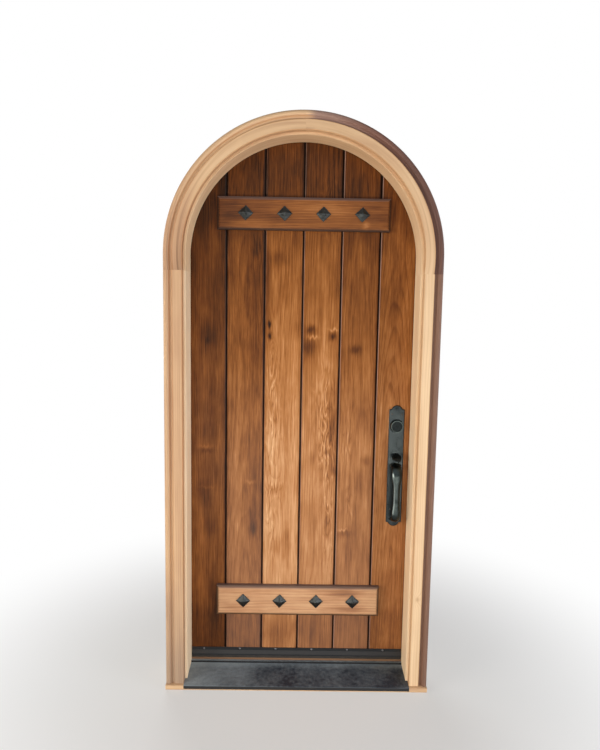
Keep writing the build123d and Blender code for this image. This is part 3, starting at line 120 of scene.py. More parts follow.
def board_coordinates(tree, grain, tilt=0.0, lean=0.0):
    """Coordinates of an upright board, of one that lies across, or of one cut to the arch."""
    place = add(tree, "TexCoord").outputs["Object"]
    if grain == "arch":
        axes = add(tree, "SeparateXYZ", {0: place})
        rise = add(tree, "Math", {0: axes.outputs[2], 1: SPRING}, operation="SUBTRACT")
        spoke = add(tree, "CombineXYZ", {0: axes.outputs[0], 2: rise.outputs[0]})
        radius = add(tree, "VectorMath", {0: spoke.outputs[0]}, operation="LENGTH")
        angle = add(
            tree, "Math", {0: axes.outputs[0], 1: rise.outputs[0]}, operation="ARCTAN2"
        )
        along = add(
            tree, "Math", {0: angle.outputs[0], 1: ARCH_GRAIN_RADIUS}, operation="MULTIPLY"
        )
        place = add(
            tree,
            "CombineXYZ",
            {0: radius.outputs["Value"], 1: axes.outputs[1], 2: along.outputs[0]},
        ).outputs[0]
    turn = (lean, tilt + (math.pi / 2 if grain == "across" else 0.0), 0.0)
    return add(tree, "Mapping", {"Vector": place, "Rotation": turn}).outputs[0]


def hill(tree, board, mark):
    """A soft round hill, one at a mark's middle; a mark is across, along and its half sizes."""
    across, along, half_width, half_length = mark[:4]
    off = add(tree, "VectorMath", {0: board, 1: (across, 0.0, along)}, operation="SUBTRACT")
    scaled = add(
        tree,
        "VectorMath",
        {0: off.outputs[0], 1: (1 / half_width, 0.0, 1 / half_length)},
        operation="MULTIPLY",
    )
    square = add(
        tree, "VectorMath", {0: scaled.outputs[0], 1: scaled.outputs[0]}, operation="DOT_PRODUCT"
    )
    falling = add(tree, "Math", {0: square.outputs["Value"], 1: -1.0}, operation="MULTIPLY")
    return add(tree, "Math", {0: falling.outputs[0]}, operation="EXPONENT").outputs[0]


def plus(tree, base, amount, gain):
    """Base and amount times gain, added."""
    return add(
        tree, "Math", {0: amount, 1: gain, 2: base}, operation="MULTIPLY_ADD"
    ).outputs[0]


def mixed(tree, share, colour, other):
    """A colour with a share of another one, a hex value or a socket, laid over it."""
    laid = linear(other) if isinstance(other, str) else other
    return add(tree, "Mix", {0: share, 6: colour, 7: laid}, data_type="RGBA").outputs[2]


def streaks(tree, board, width, length, detail=2.0, seed=0.0):
    """Noise about zero, drawn out along the grain; width and length are in metres."""
    long = add(
        tree,
        "Mapping",
        {"Vector": board, "Location": (seed, 0.0, seed), "Scale": (1.0, 1.0, width / length)},
    )
    noise = add(
        tree,
        "TexNoise",
        {"Vector": long.outputs[0], "Scale": 1 / width, "Detail": detail, "Roughness": 0.55},
    )
    return add(tree, "Math", {0: noise.outputs[0], 1: 0.5}, operation="SUBTRACT").outputs[0]


def growth_rings(tree, board, pith, spacing, wander, knots, seed):
    """Growth rings cut by the saw, one in the dark late wood; knots push them aside."""
    slow = add(
        tree,
        "Mapping",
        {"Vector": board, "Location": (seed, seed, seed), "Scale": (1.0, 1.0, 0.14)},
    )
    bend = add(
        tree,
        "TexNoise",
        {"Vector": slow.outputs[0], "Scale": 7.0, "Detail": 2.0, "Roughness": 0.4},
    )
    centred = add(
        tree, "VectorMath", {0: bend.outputs["Color"], 1: (0.5, 0.5, 0.5)}, operation="SUBTRACT"
    )
    pushed = add(
        tree,
        "VectorMath",
        {0: centred.outputs[0], 1: (wander, wander, 0.0), 2: board},
        operation="MULTIPLY_ADD",
    )
    from_pith = add(
        tree,
        "VectorMath",
        {0: pushed.outputs[0], 1: (1.0, 1.0, 0.0), 2: (-pith[0], -pith[1], 0.0)},
        operation="MULTIPLY_ADD",
    )
    distance = add(tree, "VectorMath", {0: from_pith.outputs[0]}, operation="LENGTH")
    count = add(
        tree, "Math", {0: distance.outputs["Value"], 1: 1 / spacing}, operation="MULTIPLY"
    ).outputs[0]
    for knot in knots:
        wide = (knot[0], knot[1], 2.4 * knot[2], 2.4 * knot[3])
        count = plus(tree, count, hill(tree, board, wide), knot[4])
    part = add(tree, "Math", {0: count}, operation="FRACT")
    return add(
        tree,
        "ValToRGB",
        {0: part.outputs[0]},
        stops=((0.0, "#404040"), (0.5, "#5a5a5a"), (0.86, "#ffffff"), (1.0, "#404040")),
    ).outputs[0]


def stained_alder(
    name, grain="upright", tilt=0.0, lean=0.0, pith=(0.0, 0.09), level=0.5, spacing=0.007,
    wander=0.06, figure=0.07, fade_and_shade=0.2, shade=0.12, dust=0.12, knots=(), smudges=(),
    flames=(), seed=0.0, leaf=True, haze=0.0,
):
    """Knotty alder, planed, wiped with brown stain and sealed: satin, cloudy, with soft rings.

    The tone starts at level. By fade it darkens upwards, partly as stain that faded less up high
    and partly as painted shade, and by shade it darkens under the arch, as painted shade. Dust
    greys it downwards, and haze greys a batten all over. Flames are spots of curled grain.
    """
    material, tree = new_material(name)
    board = board_coordinates(tree, grain, tilt, lean)
    # Alder's pores are a tenth of a millimetre wide; the finest lines are 2.2 mm, so they show
    fine = streaks(tree, board, 0.0022, 0.10, seed=seed)
    middle = streaks(tree, board, 0.006, 0.30, seed=seed + 9.0)
    broad = streaks(tree, board, 0.016, 0.5, seed=seed + 3.0)
    clouds = streaks(tree, board, 0.055, 0.13, detail=4.0, seed=seed + 7.0)
    flame = streaks(tree, board, 0.009, 0.05, detail=1.0, seed=seed + 5.0)
    ripple = add(tree, "CombineXYZ", {0: fine, 2: flame})
    ragged = add(
        tree,
        "VectorMath",
        {0: ripple.outputs[0], 1: (0.005, 0.0, 0.03), 2: board},
        operation="MULTIPLY_ADD",
    ).outputs[0]
    rings = growth_rings(tree, board, pith, spacing, wander, knots, seed)
    tone = level
    for part, gain in (
        (broad, 0.19), (clouds, 0.33), (middle, 0.22), (fine, 0.38), (rings, -figure)
    ):
        tone = plus(tree, tone, part, gain)
    for smudge in (*smudges, *((*knot[:4], knot[5]) for knot in knots)):
        tone = plus(tree, tone, hill(tree, ragged, smudge), smudge[4])
    if flames:
        wavy = add(
            tree,
            "VectorMath",
            {0: add(tree, "CombineXYZ", {0: flame}).outputs[0], 1: (0.012, 0.0, 0.0), 2: board},
            operation="MULTIPLY_ADD",
        ).outputs[0]
        # Curled grain is cut in loops, like the lines of equal height on a map
        field = streaks(tree, wavy, 0.038, 0.24, detail=1.5, seed=seed + 11.0)
        loops = add(tree, "Math", {0: field, 1: 0.044}, operation="PINGPONG").outputs[0]
        broken = plus(tree, loops, fine, 0.04)
        bright = add(tree, "MapRange", {0: broken, 1: 0.026, 2: 0.044, 3: 0.0, 4: 0.85})
        dark = add(tree, "MapRange", {0: broken, 1: 0.013, 2: -0.003, 3: 0.0, 4: -0.85})
        both = plus(tree, bright.outputs[0], dark.outputs[0], 1.1)
        for spot in flames:
            here = add(
                tree, "Math", {0: hill(tree, board, spot), 1: both}, operation="MULTIPLY"
            )
            tone = plus(tree, tone, here.outputs[0], spot[4])
    place = add(tree, "TexCoord").outputs["Object"]
    axes = add(tree, "SeparateXYZ", {0: place})
    facing = add(tree, "SeparateXYZ", {0: add(tree, "TexCoord").outputs["Normal"]})
    if leaf:
        # Darker upwards, partly stain that faded less up high and partly painted shade; darker
        # still under the arch, painted shade
        upward_darkening = add(
            tree, "MapRange", {0: axes.outputs[2], 1: UPWARD_DARKENING_FROM, 2: UPWARD_DARKENING_TO, 3: 0.0, 4: -fade_and_shade}
        )
        tone = plus(tree, tone, upward_darkening.outputs[0], 1.0)
        under_arch = add(
            tree,
            "MapRange",
            {0: axes.outputs[2], 1: UNDER_ARCH_FROM, 2: UNDER_ARCH_TO, 3: 0.0, 4: -shade},
            interpolation_type="SMOOTHSTEP",
        )
        tone = plus(tree, tone, under_arch.outputs[0], 1.0)
        ragged_foot = plus(tree, axes.outputs[2], broad, 0.04)
        foot = add(
            tree, "MapRange", {0: ragged_foot, 1: FOOT_FROM, 2: FOOT_TO, 3: 0.0, 4: -0.12}
        )
        tone = plus(tree, tone, foot.outputs[0], 1.0)
        side = add(
            tree, "Math", {0: axes.outputs[0], 1: PLANK_WIDTH / 2}, operation="PINGPONG"
        )
        near_joint = plus(tree, side.outputs[0], broad, 0.016)
        rim = add(
            tree, "MapRange", {0: near_joint, 1: 0.004, 2: 0.014, 3: -0.09, 4: 0.0}
        )
        tone = plus(tree, tone, rim.outputs[0], 1.0)
    colour = add(
        tree,
        "ValToRGB",
        {0: tone},
        stops=(
            (0.0, "#180b04"),
            (0.16, "#3a1f0c"),
            (0.34, "#683a17"),
            (0.50, "#8e5728"),
            (0.66, "#b07643"),
            (0.82, "#ce9a6b"),
            (1.0, "#e3b88a"),
        ),
    ).outputs[0]
    dusty = add(
        tree, "MapRange", {0: axes.outputs[2], 1: DUST_FROM, 2: DUST_TO, 3: 0.0, 4: dust}
    )
    colour = mixed(tree, dusty.outputs[0], colour, SETTLED_DUST)
    if leaf:
        # Stain pools on the sloped walls of the V grooves; their near-black tone is partly that
        # stain and partly painted shade
        from_middle = add(
            tree, "Math", {0: axes.outputs[1], 1: LEAF_MIDDLE}, operation="SUBTRACT"
        )
        away = add(tree, "Math", {0: from_middle.outputs[0]}, operation="ABSOLUTE").outputs[0]
        outward = add(tree, "Math", {0: facing.outputs[1]}, operation="ABSOLUTE")
        turned = add(
            tree, "Math", {0: facing.outputs[0], 1: outward.outputs[0]}, operation="MULTIPLY"
        )
        sloped = add(tree, "Math", {0: turned.outputs[0]}, operation="ABSOLUTE")
        wall = add(tree, "MapRange", {0: sloped.outputs[0], 1: 0.1, 2: 0.3, 3: 0.0, 4: 0.95})
        deep = add(tree, "MapRange", {0: away, 1: 0.0272, 2: 0.0262, 3: 0.0, 4: 1.0})
        stain_and_shade = add(
            tree, "Math", {0: wall.outputs[0], 1: deep.outputs[0]}, operation="MULTIPLY"
        )
        colour = mixed(tree, stain_and_shade.outputs[0], colour, POOLED_STAIN_AND_SHADE)
        # A painted highlight near the face on the groove walls that face the hinges, stronger
        # towards the lock
        arris = add(tree, "MapRange", {0: turned.outputs[0], 1: -0.2, 2: -0.4, 3: 0.0, 4: 1.0})
        near_face = add(tree, "MapRange", {0: away, 1: 0.0258, 2: 0.0268, 3: 0.0, 4: 1.0})
        painted_highlight = add(
            tree, "Math", {0: arris.outputs[0], 1: near_face.outputs[0]}, operation="MULTIPLY"
        )
        lock_side = add(
            tree, "MapRange", {0: axes.outputs[0], 1: -0.30, 2: 0.15, 3: 0.10, 4: 0.55}
        )
        share = plus(tree, lock_side.outputs[0], clouds, 0.9)
        thin = add(
            tree, "Math", {0: painted_highlight.outputs[0], 1: share}, operation="MULTIPLY", use_clamp=True
        )
        colour = mixed(tree, thin.outputs[0], colour, PAINTED_ARRIS_HIGHLIGHT)
    else:
        # It pools on a batten's bevel too, drawn dark partly as that stain and partly as painted
        # shade, and the edge that faces up has gone grey
        behind_face = add(
            tree, "Math", {0: axes.outputs[1], 1: BATTEN_FACE}, operation="SUBTRACT"
        )
        stain_and_shade = add(
            tree, "MapRange", {0: behind_face.outputs[0], 1: 0.0008, 2: 0.0040, 3: 0.0, 4: 0.85}
        )
        colour = mixed(tree, stain_and_shade.outputs[0], colour, POOLED_STAIN_AND_SHADE)
        lying = add(tree, "MapRange", {0: facing.outputs[2], 1: 0.3, 2: 0.6, 3: 0.0, 4: 0.7})
        colour = mixed(tree, lying.outputs[0], colour, GREYED_STAIN)
        colour = mixed(tree, haze, colour, GREYED_STAIN)
    sheen = add(tree, "MapRange", {0: broad, 1: -0.3, 2: 0.3, 3: 0.50, 4: 0.36})
    relief = plus(tree, fine, rings, -0.35)
    bump = add(tree, "Bump", {"Height": relief, "Strength": 0.35, "Distance": 0.0006})
    shader = add(
        tree,
        "BsdfPrincipled",
        {
            "Base Color": colour,
            "Roughness": sheen.outputs[0],
            "IOR": 1.48,
            "Specular IOR Level": 0.16,
            "Normal": bump.outputs[0],
        },
    )
    finish_with(tree, shader)
    return material


def bare_wood(
    name, grain="upright", tilt=0.0, pith=(0.0, 0.12), level=0.5, crown=0.0, dirt=0.0,
    quirks=(), knots=(), stain=None, seed=0.0,
):
    """Pale sanded alder with no finish: matt, faint rings, a little raised grain.

    The tone starts at level and changes by crown towards the arch's top. Quirks are the
    distances from the middle at which shade is painted into a moulding's creases.
    """
    material, tree = new_material(name)
    board = board_coordinates(tree, grain, tilt)
    # Drawn 2.5 mm wide, much coarser than the real pores, so that the lines show
    fine = streaks(tree, board, 0.0025, 0.12, seed=seed)
    broad = streaks(tree, board, 0.018, 0.6, seed=seed + 3.0)
    clouds = streaks(tree, board, 0.09, 0.35, seed=seed + 7.0)
    rings = growth_rings(tree, board, pith, 0.008, 0.05, knots, seed)
    tone = level
    for part, gain in ((broad, 0.36), (clouds, 0.36), (fine, 0.18), (rings, -0.13)):
        tone = plus(tree, tone, part, gain)
    for knot in knots:
        tone = plus(tree, tone, hill(tree, board, knot), knot[-1])
    if crown:
        place = add(tree, "TexCoord").outputs["Object"]
        height = add(tree, "SeparateXYZ", {0: place}).outputs[2]
        topmost = add(tree, "MapRange", {0: height, 1: 1.67, 2: 2.15, 3: 0.0, 4: crown})
        tone = plus(tree, tone, topmost.outputs[0], 1.0)
    colour = add(
        tree,
        "ValToRGB",
        {0: tone},
        stops=(
            (0.0, "#785a42"),
            (0.25, "#b79070"),
            (0.5, "#d2b08a"),
            (0.75, "#e6c9a3"),
            (1.0, "#f4dfc0"),
        ),
    ).outputs[0]
    across = add(tree, "SeparateXYZ", {0: board}).outputs[0]
    outward = add(tree, "Math", {0: across}, operation="ABSOLUTE").outputs[0]
    # Painted shade along the moulding's creases
    for quirk in quirks:
        off = add(tree, "Math", {0: outward, 1: quirk}, operation="SUBTRACT")
        beside = add(tree, "Math", {0: off.outputs[0]}, operation="ABSOLUTE")
        crease_shade = add(
            tree, "MapRange", {0: beside.outputs[0], 1: 0.0005, 2: 0.0030, 3: 0.55, 4: 0.0}
        )
        colour = mixed(tree, crease_shade.outputs[0], colour, QUIRK_SHADE)
    if dirt:
        height = add(tree, "SeparateXYZ", {0: board}).outputs[2]
        splashed = plus(tree, height, clouds, 0.5)
        foot = add(tree, "MapRange", {0: splashed, 1: 0.55, 2: 0.0, 3: 0.0, 4: dirt})
        colour = mixed(tree, foot.outputs[0], colour, SPLASHED_DIRT)
    if stain:
        colour = stain(tree, colour, board, fine)
    relief = plus(tree, fine, rings, -0.3)
    bump = add(tree, "Bump", {"Height": relief, "Strength": 0.3, "Distance": 0.0005})
    shader = add(
        tree,
        "BsdfPrincipled",
        {"Base Color": colour, "Roughness": 0.62, "IOR": 1.45, "Normal": bump.outputs[0]},
    )
    finish_with(tree, shader)
    return material


# The planks from the hinges to the lock. A mark is its place across and along the board, half
# its width and half its length, and how far it shifts the tone; a knot has the number of rings
# that it pushes aside before that.

PLANKS = (
    dict(
        level=0.42, fade_and_shade=0.10, dust=0.0, pith=(-0.03, 0.10), tilt=0.004, lean=0.02, seed=1.3,
        smudges=(
            (-0.375, 1.427, 0.034, 0.050, -0.11), (-0.375, 1.405, 0.010, 0.014, -0.10),
            (-0.383, 0.954, 0.030, 0.010, -0.12), (-0.383, 0.972, 0.030, 0.008, 0.10),
            (-0.395, 0.785, 0.040, 0.060, -0.07), (-0.366, 0.614, 0.020, 0.050, -0.12),
            (-0.380, 0.800, 0.034, 0.006, 0.08),
            (-0.330, 1.05, 0.012, 0.30, 0.08), (-0.345, 0.30, 0.020, 0.12, -0.14),
        ),
    ),
    dict(
        level=0.56, fade_and_shade=0.16, pith=(-0.22, 0.08), tilt=-0.006, lean=0.03, seed=2.1,
        smudges=(
            (-0.185, 1.50, 0.035, 0.40, -0.12), (-0.204, 1.755, 0.020, 0.030, -0.12),
            (-0.185, 0.75, 0.030, 0.28, -0.12), (-0.209, 0.822, 0.022, 0.008, 0.14),
            (-0.195, 0.62, 0.020, 0.030, -0.16), (-0.260, 0.90, 0.014, 0.40, 0.06),
        ),
    ),
    dict(
        level=0.80, fade_and_shade=0.28, shade=0.23, dust=0.07, pith=(-0.09, 0.07), tilt=0.006,
        lean=-0.02, seed=3.7,
        knots=(
            (-0.101, 0.798, 0.016, 0.026, 1.6, -0.14),
            (-0.122, 1.475, 0.007, 0.013, 0.8, -0.46),
            (-0.121, 1.427, 0.007, 0.013, 0.8, -0.46),
        ),
        smudges=(
            (-0.093, 1.737, 0.035, 0.030, -0.16), (-0.098, 0.553, 0.020, 0.050, -0.12),
            (-0.130, 1.60, 0.012, 0.16, -0.14), (-0.052, 1.00, 0.016, 0.40, -0.10),
            (-0.045, 0.55, 0.014, 0.10, -0.18), (-0.125, 0.83, 0.008, 0.10, -0.14),
            (-0.075, 0.17, 0.090, 0.085, -0.16),
        ),
        flames=(
            (-0.108, 1.19, 0.024, 0.20, 0.19), (-0.106, 0.96, 0.032, 0.14, 0.15),
            (-0.104, 0.80, 0.036, 0.040, 0.18), (-0.112, 0.62, 0.020, 0.12, 0.22),
        ),
    ),
    dict(
        level=0.70, fade_and_shade=0.20, shade=0.23, dust=0.10, figure=0.10, pith=(0.07, 0.06),
        tilt=-0.004, seed=4.4,
        knots=((0.103, 0.953, 0.012, 0.012, 1.6, -0.26),),
        smudges=(
            (0.030, 1.455, 0.020, 0.018, -0.34), (0.025, 1.385, 0.026, 0.035, -0.28),
            (0.120, 1.430, 0.014, 0.016, -0.34), (0.120, 1.457, 0.018, 0.006, 0.24),
            (0.040, 1.425, 0.022, 0.007, 0.24), (0.085, 1.40, 0.012, 0.12, 0.12),
            (0.125, 1.02, 0.018, 0.16, -0.20), (0.142, 0.874, 0.012, 0.020, -0.24),
            (0.050, 0.927, 0.016, 0.040, -0.10), (0.075, 1.24, 0.030, 0.10, 0.06),
            (0.075, 0.17, 0.090, 0.085, -0.12),
        ),
        flames=(
            (0.088, 1.16, 0.036, 0.16, 0.22), (0.110, 0.94, 0.030, 0.12, 0.26),
            (0.115, 0.66, 0.024, 0.18, 0.20), (0.100, 1.95, 0.040, 0.12, 0.14),
        ),
    ),
    dict(
        level=0.61, fade_and_shade=0.22, pith=(0.24, 0.09), tilt=0.003, lean=0.02, seed=5.9,
        smudges=(
            (0.219, 1.376, 0.024, 0.018, -0.24), (0.190, 0.605, 0.030, 0.016, -0.18),
            (0.185, 0.620, 0.022, 0.006, 0.20), (0.273, 0.918, 0.018, 0.020, -0.18),
            (0.210, 0.55, 0.020, 0.10, -0.12), (0.240, 0.82, 0.040, 0.05, -0.10),
            (0.175, 1.52, 0.016, 0.10, 0.08),
        ),
        flames=((0.190, 1.02, 0.030, 0.12, 0.14), (0.215, 0.74, 0.020, 0.08, 0.12)),
    ),
    dict(
        level=0.62, fade_and_shade=0.15, dust=0.04, figure=0.09, pith=(0.375, 0.04), tilt=-0.004,
        lean=0.035, seed=6.6,
        smudges=(
            (0.410, 0.45, 0.050, 0.26, -0.07), (0.36, 1.55, 0.020, 0.10, -0.08),
            (0.440, 0.85, 0.014, 0.30, -0.10),
        ),
    ),
)
for number, plank in enumerate(PLANKS, start=1):
    dress(stained_alder(f"stained_alder_plank_{number}", **plank), f"plank_{number}")

# A batten's marks are across its grain, which is up the door, and along it towards the hinges

BATTENS = {
    "upper_batten": dict(
        level=0.46, figure=0.12, haze=0.06, seed=8.2,
        smudges=(
            (1.90, 0.29, 0.050, 0.060, -0.12), (1.87, 0.25, 0.010, 0.050, 0.14),
            (1.93, -0.10, 0.030, 0.16, 0.08), (1.865, -0.24, 0.016, 0.012, 0.20),
        ),
    ),
    "lower_batten": dict(
        level=0.87, figure=0.26, dust=0.18, seed=9.4,
        smudges=(
            (0.355, -0.20, 0.020, 0.080, -0.34), (0.285, -0.22, 0.014, 0.070, -0.30),
            (0.300, -0.06, 0.012, 0.090, 0.12), (0.290, 0.28, 0.020, 0.060, -0.10),
        ),
    ),
}
for name, marks in BATTENS.items():
    batten_wood = stained_alder(
        f"stained_alder_{name}", grain="across", pith=(0.0, 0.10), spacing=0.006, wander=0.03,
        leaf=False, **marks,
    )
    dress(batten_wood, name)

# The bare frame


def past_flat(tree, board, fine, most):
    """How much the cove and bead are covered; the flat is bare, and the line is ragged."""
    across = add(tree, "SeparateXYZ", {0: board}).outputs[0]
    edge = plus(tree, across, fine, 0.004)
    return add(
        tree, "MapRange", {0: edge, 1: 0.4945, 2: 0.4970, 3: 0.0, 4: most}
    ).outputs[0]


def trim_stain(tree, colour, board, fine):
    """Brown stain that ran over the cove and bead; it starts thin and grey at the crown."""
    covered = past_flat(tree, board, fine, 1.0)
    along = add(tree, "SeparateXYZ", {0: board}).outputs[2]
    start = plus(tree, along, fine, 0.10)
    started = add(tree, "MapRange", {0: start, 1: 0.00, 2: 0.03, 3: 0.0, 4: 1.0})
    both = add(tree, "Math", {0: covered, 1: started.outputs[0]}, operation="MULTIPLY")
    thick = add(tree, "MapRange", {0: along, 1: 0.02, 2: 0.40, 3: 0.95, 4: 0.25})
    brown = add(
        tree,
        "ValToRGB",
        {0: plus(tree, thick.outputs[0], fine, 1.0)},
        stops=((0.0, "#432a24"), (0.5, "#6d4a3d"), (1.0, "#9c8074")),
    )
    return mixed(tree, both.outputs[0], colour, brown.outputs[0])


def lower_trim_stain(tree, colour, board, fine):
    """The same stain on the leg, where a little of the pale wood shows through."""
    brown = add(
        tree,
        "ValToRGB",
        {0: plus(tree, 0.5, fine, 1.2)},
        stops=((0.0, "#4f342b"), (1.0, "#86604e")),
    )
    return mixed(tree, past_flat(tree, board, fine, 0.95), colour, brown.outputs[0])


# Where the moulding's flat meets the cove, the cove the bead, and the flat the jamb
QUIRKS = (0.4943, 0.5063, 0.4575)

dress(
    bare_wood("bare_alder_left_trim", level=0.38, dirt=0.5, quirks=QUIRKS, seed=11.0),
    "moulding_left_leg",
)
# The left arch is drawn darker than the right one, most towards its foot: painted shade
dress(
    bare_wood(
        "bare_alder_left_trim_arch", grain="arch", level=0.24, crown=0.24, seed=12.0,
        quirks=QUIRKS, pith=(0.4, 0.1),
    ),
    "moulding_arch_left",
)
dress(
    bare_wood(
        "bare_alder_right_trim", level=0.68, quirks=QUIRKS, seed=13.0, stain=lower_trim_stain,
        knots=((0.478, 0.39, 0.007, 0.010, 2.0, -0.35),),
    ),
    "moulding_right_leg",
)
dress(
    bare_wood(
        "bare_alder_right_trim_arch", grain="arch", level=0.62, crown=-0.08, seed=14.0,
        quirks=QUIRKS, pith=(0.4, 0.1), stain=trim_stain,
    ),
    "moulding_arch_right",
)
dress(bare_wood("bare_alder_left_jamb", level=0.95, seed=15.0), "jamb_left_leg")
dress(bare_wood("bare_alder_right_jamb", level=0.86, seed=16.0), "jamb_right_leg")
dress(
    bare_wood(
        "bare_alder_jamb_arch", grain="arch", level=0.82, crown=-0.32, seed=17.0, pith=(0.4, 0.1)
    ),
    "jamb_arch_left",
    "jamb_arch_right",
)
dress(bare_wood("beech_dowel", level=0.55, seed=18.0), "jamb_dowels")
dress(bare_wood("bare_pine_sill_base", grain="across", level=0.5, seed=19.0), "sill_base")
# The riser is drawn dark, partly as dirt and partly as painted shade under the sweep above it
dress(bare_wood("bare_oak_riser", grain="across", level=-0.10, seed=20.0), "sill_riser")

# Metals and rubber


def patina_metal(
    name, deep, raised, roughness, spot=0.006, dent=0.0, dent_size=0.006, highlight_facing=None
):
    """An oiled metal: patches of two tones, hammer dents, and a painted highlight band on the
    faces that look one way.
    """
    material, tree = new_material(name)
    place = add(tree, "TexCoord").outputs["Object"]
    patches = add(
        tree,
        "TexNoise",
        {"Vector": place, "Scale": 1 / (6 * spot), "Detail": 5.0, "Roughness": 0.62},
    )
    specks = add(
        tree, "TexNoise", {"Vector": place, "Scale": 4 / spot, "Detail": 3.0, "Roughness": 0.6}
    )
    amount = plus(tree, patches.outputs[0], specks.outputs[0], 0.35)
    colour = add(
        tree, "ValToRGB", {0: amount}, stops=((0.45, deep), (0.62, raised), (0.9, raised))
    ).outputs[0]
    # A painted highlight band on the faces that look the given way
    if highlight_facing:
        towards = add(
            tree,
            "VectorMath",
            {0: add(tree, "TexCoord").outputs["Normal"], 1: highlight_facing},
            operation="DOT_PRODUCT",
        )
        band = plus(tree, towards.outputs["Value"], specks.outputs[0], 0.10)
        painted_highlight = add(tree, "MapRange", {0: band, 1: 0.99, 2: 1.06, 3: 0.0, 4: 1.0})
        colour = mixed(tree, painted_highlight.outputs[0], colour, "#7b8482")
    gloss = add(
        tree,
        "MapRange",
        {0: amount, 1: 0.4, 2: 0.95, 3: roughness + 0.08, 4: roughness - 0.08},
    )
    hammer = add(
        tree,
        "TexVoronoi",
        {"Vector": place, "Scale": 1 / dent_size},
        feature="SMOOTH_F1",
    )
    height = plus(tree, specks.outputs[0], hammer.outputs[0], dent * 4)
    bump = add(
        tree, "Bump", {"Height": height, "Strength": 0.35, "Distance": 0.0003 + dent * 0.001}
    )
    shader = add(
        tree,
        "BsdfPrincipled",
        {
            "Base Color": colour,
            "Metallic": 1.0,
            "Roughness": gloss.outputs[0],
            "Normal": bump.outputs[0],
        },
    )
    finish_with(tree, shader)
    return material


# Cast bronze, blackened, oiled and rubbed: dark satin with soft hollows, smoother where hands
# wear it, with a painted highlight on the faces of the grip, knob and collar that look forward
# and left, and matt in the cylinder's face
oiled_bronze = patina_metal(
    "oil_rubbed_bronze", "#101316", "#33393b", 0.36, spot=0.009, dent=0.3, dent_size=0.011
)
highlighted_bronze = patina_metal(
    "bronze_with_painted_highlight", "#191d1e", "#363d3d", 0.30, highlight_facing=(-0.55, -0.82, 0.15)
)
shaded_bronze = patina_metal("matt_dark_bronze", "#0e1011", "#1d2122", 0.42)
# Hammered iron: dull, dark, with small dents
forged_iron = patina_metal("forged_iron", "#191918", "#3a3d3d", 0.46, dent=0.5)
# Small turned or pressed steel: even and satin, black, worn grey, or zinc plated
blackened_steel = patina_metal("blackened_steel", "#2d2d2c", "#484745", 0.42, spot=0.002)
worn_steel = patina_metal("worn_black_steel", "#3a3a3a", "#77767a", 0.40, spot=0.002)
plated_steel = patina_metal("zinc_plated_steel", "#8d8a82", "#b4b0a6", 0.34, spot=0.003)

dress(
    oiled_bronze,
    "outside_plate", "thumb_piece", "inside_plate", "turn_piece",
    "latch_faceplate", "deadbolt_faceplate", "latch_strike",
    "deadbolt_strike", "hinge_frame_leaf_top", "hinge_frame_leaf_middle",
    "hinge_frame_leaf_bottom", "hinge_door_leaf_top", "hinge_door_leaf_middle",
    "hinge_door_leaf_bottom", "hinge_pins",
)
dress(highlighted_bronze, "grip", "inside_knob", "cylinder_collar")
dress(shaded_bronze, "lock_cylinder", "key_plug")
dress(forged_iron, "studs")
dress(
    blackened_steel,
    "strike_screws", "hinge_frame_screws", "hinge_door_screws", "faceplate_screws",
    "through_bolts", "thumb_pin", "plate_screws", "sweep_screws",
)
dress(
    plated_steel,
    "latch_bolt", "deadbolt_bolt", "latch_case", "deadbolt_case", "latch_spindle",
    "deadbolt_tail",
)


SHADED_ALUMINIUM = "#15181c"


def anodised(name, colour_dark, colour_dust, dust, roughness):
    """Dark anodised aluminium, ribbed along its length, with dust lying on its flats."""
    material, tree = new_material(name)
    place = add(tree, "TexCoord").outputs["Object"]
    drawn = add(tree, "Mapping", {"Vector": place, "Scale": (0.02, 1.0, 1.0)})
    # Die lines about a millimetre apart
    lines = add(
        tree, "TexNoise", {"Vector": drawn.outputs[0], "Scale": 900.0, "Detail": 2.0}
    )
    patches = add(
        tree, "TexNoise", {"Vector": place, "Scale": 9.0, "Detail": 6.0, "Roughness": 0.6}
    )
    grit = add(
        tree, "TexNoise", {"Vector": place, "Scale": 70.0, "Detail": 5.0, "Roughness": 0.7}
    )
    axes = add(tree, "SeparateXYZ", {0: place})
    left = add(tree, "MapRange", {0: axes.outputs[0], 1: -0.05, 2: -0.42, 3: 0.0, 4: 0.42})
    top = add(tree, "MapRange", {0: axes.outputs[1], 1: -0.050, 2: -0.018, 3: 0.0, 4: 0.30})
    facing = add(tree, "TexCoord").outputs["Normal"]
    up = add(tree, "SeparateXYZ", {0: facing}).outputs[2]
    amount = plus(tree, left.outputs[0], patches.outputs[0], 0.6)
    amount = plus(tree, amount, top.outputs[0], 1.0)
    amount = plus(tree, amount, grit.outputs[0], 0.6)
    thick = add(tree, "MapRange", {0: amount, 1: 0.52, 2: 1.30, 3: 0.0, 4: dust})
    laid = add(tree, "Math", {0: thick.outputs[0], 1: up}, operation="MULTIPLY", use_clamp=True)
    # Faces that don't look up take the darker tone: painted shade
    lying = add(tree, "MapRange", {0: up, 1: 0.2, 2: 0.8})
    metal = mixed(tree, lying.outputs[0], linear(SHADED_ALUMINIUM), colour_dark)
    colour = mixed(tree, laid.outputs[0], metal, colour_dust)
    rough = plus(tree, roughness, laid.outputs[0], 0.5)
    bump = add(
        tree, "Bump", {"Height": lines.outputs[0], "Strength": 0.25, "Distance": 0.0003}
    )
    shader = add(
        tree,
        "BsdfPrincipled",
        {"Base Color": colour, "Roughness": rough, "Normal": bump.outputs[0]},
    )
    finish_with(tree, shader)
    return material


dress(anodised("dark_anodised_sill", "#1f2c3a", "#a2b0b9", 0.95, 0.42), "sill_deck")
dress(anodised("black_anodised_sweep", "#141416", "#3c3a38", 0.4, 0.38), "sweep_carrier")


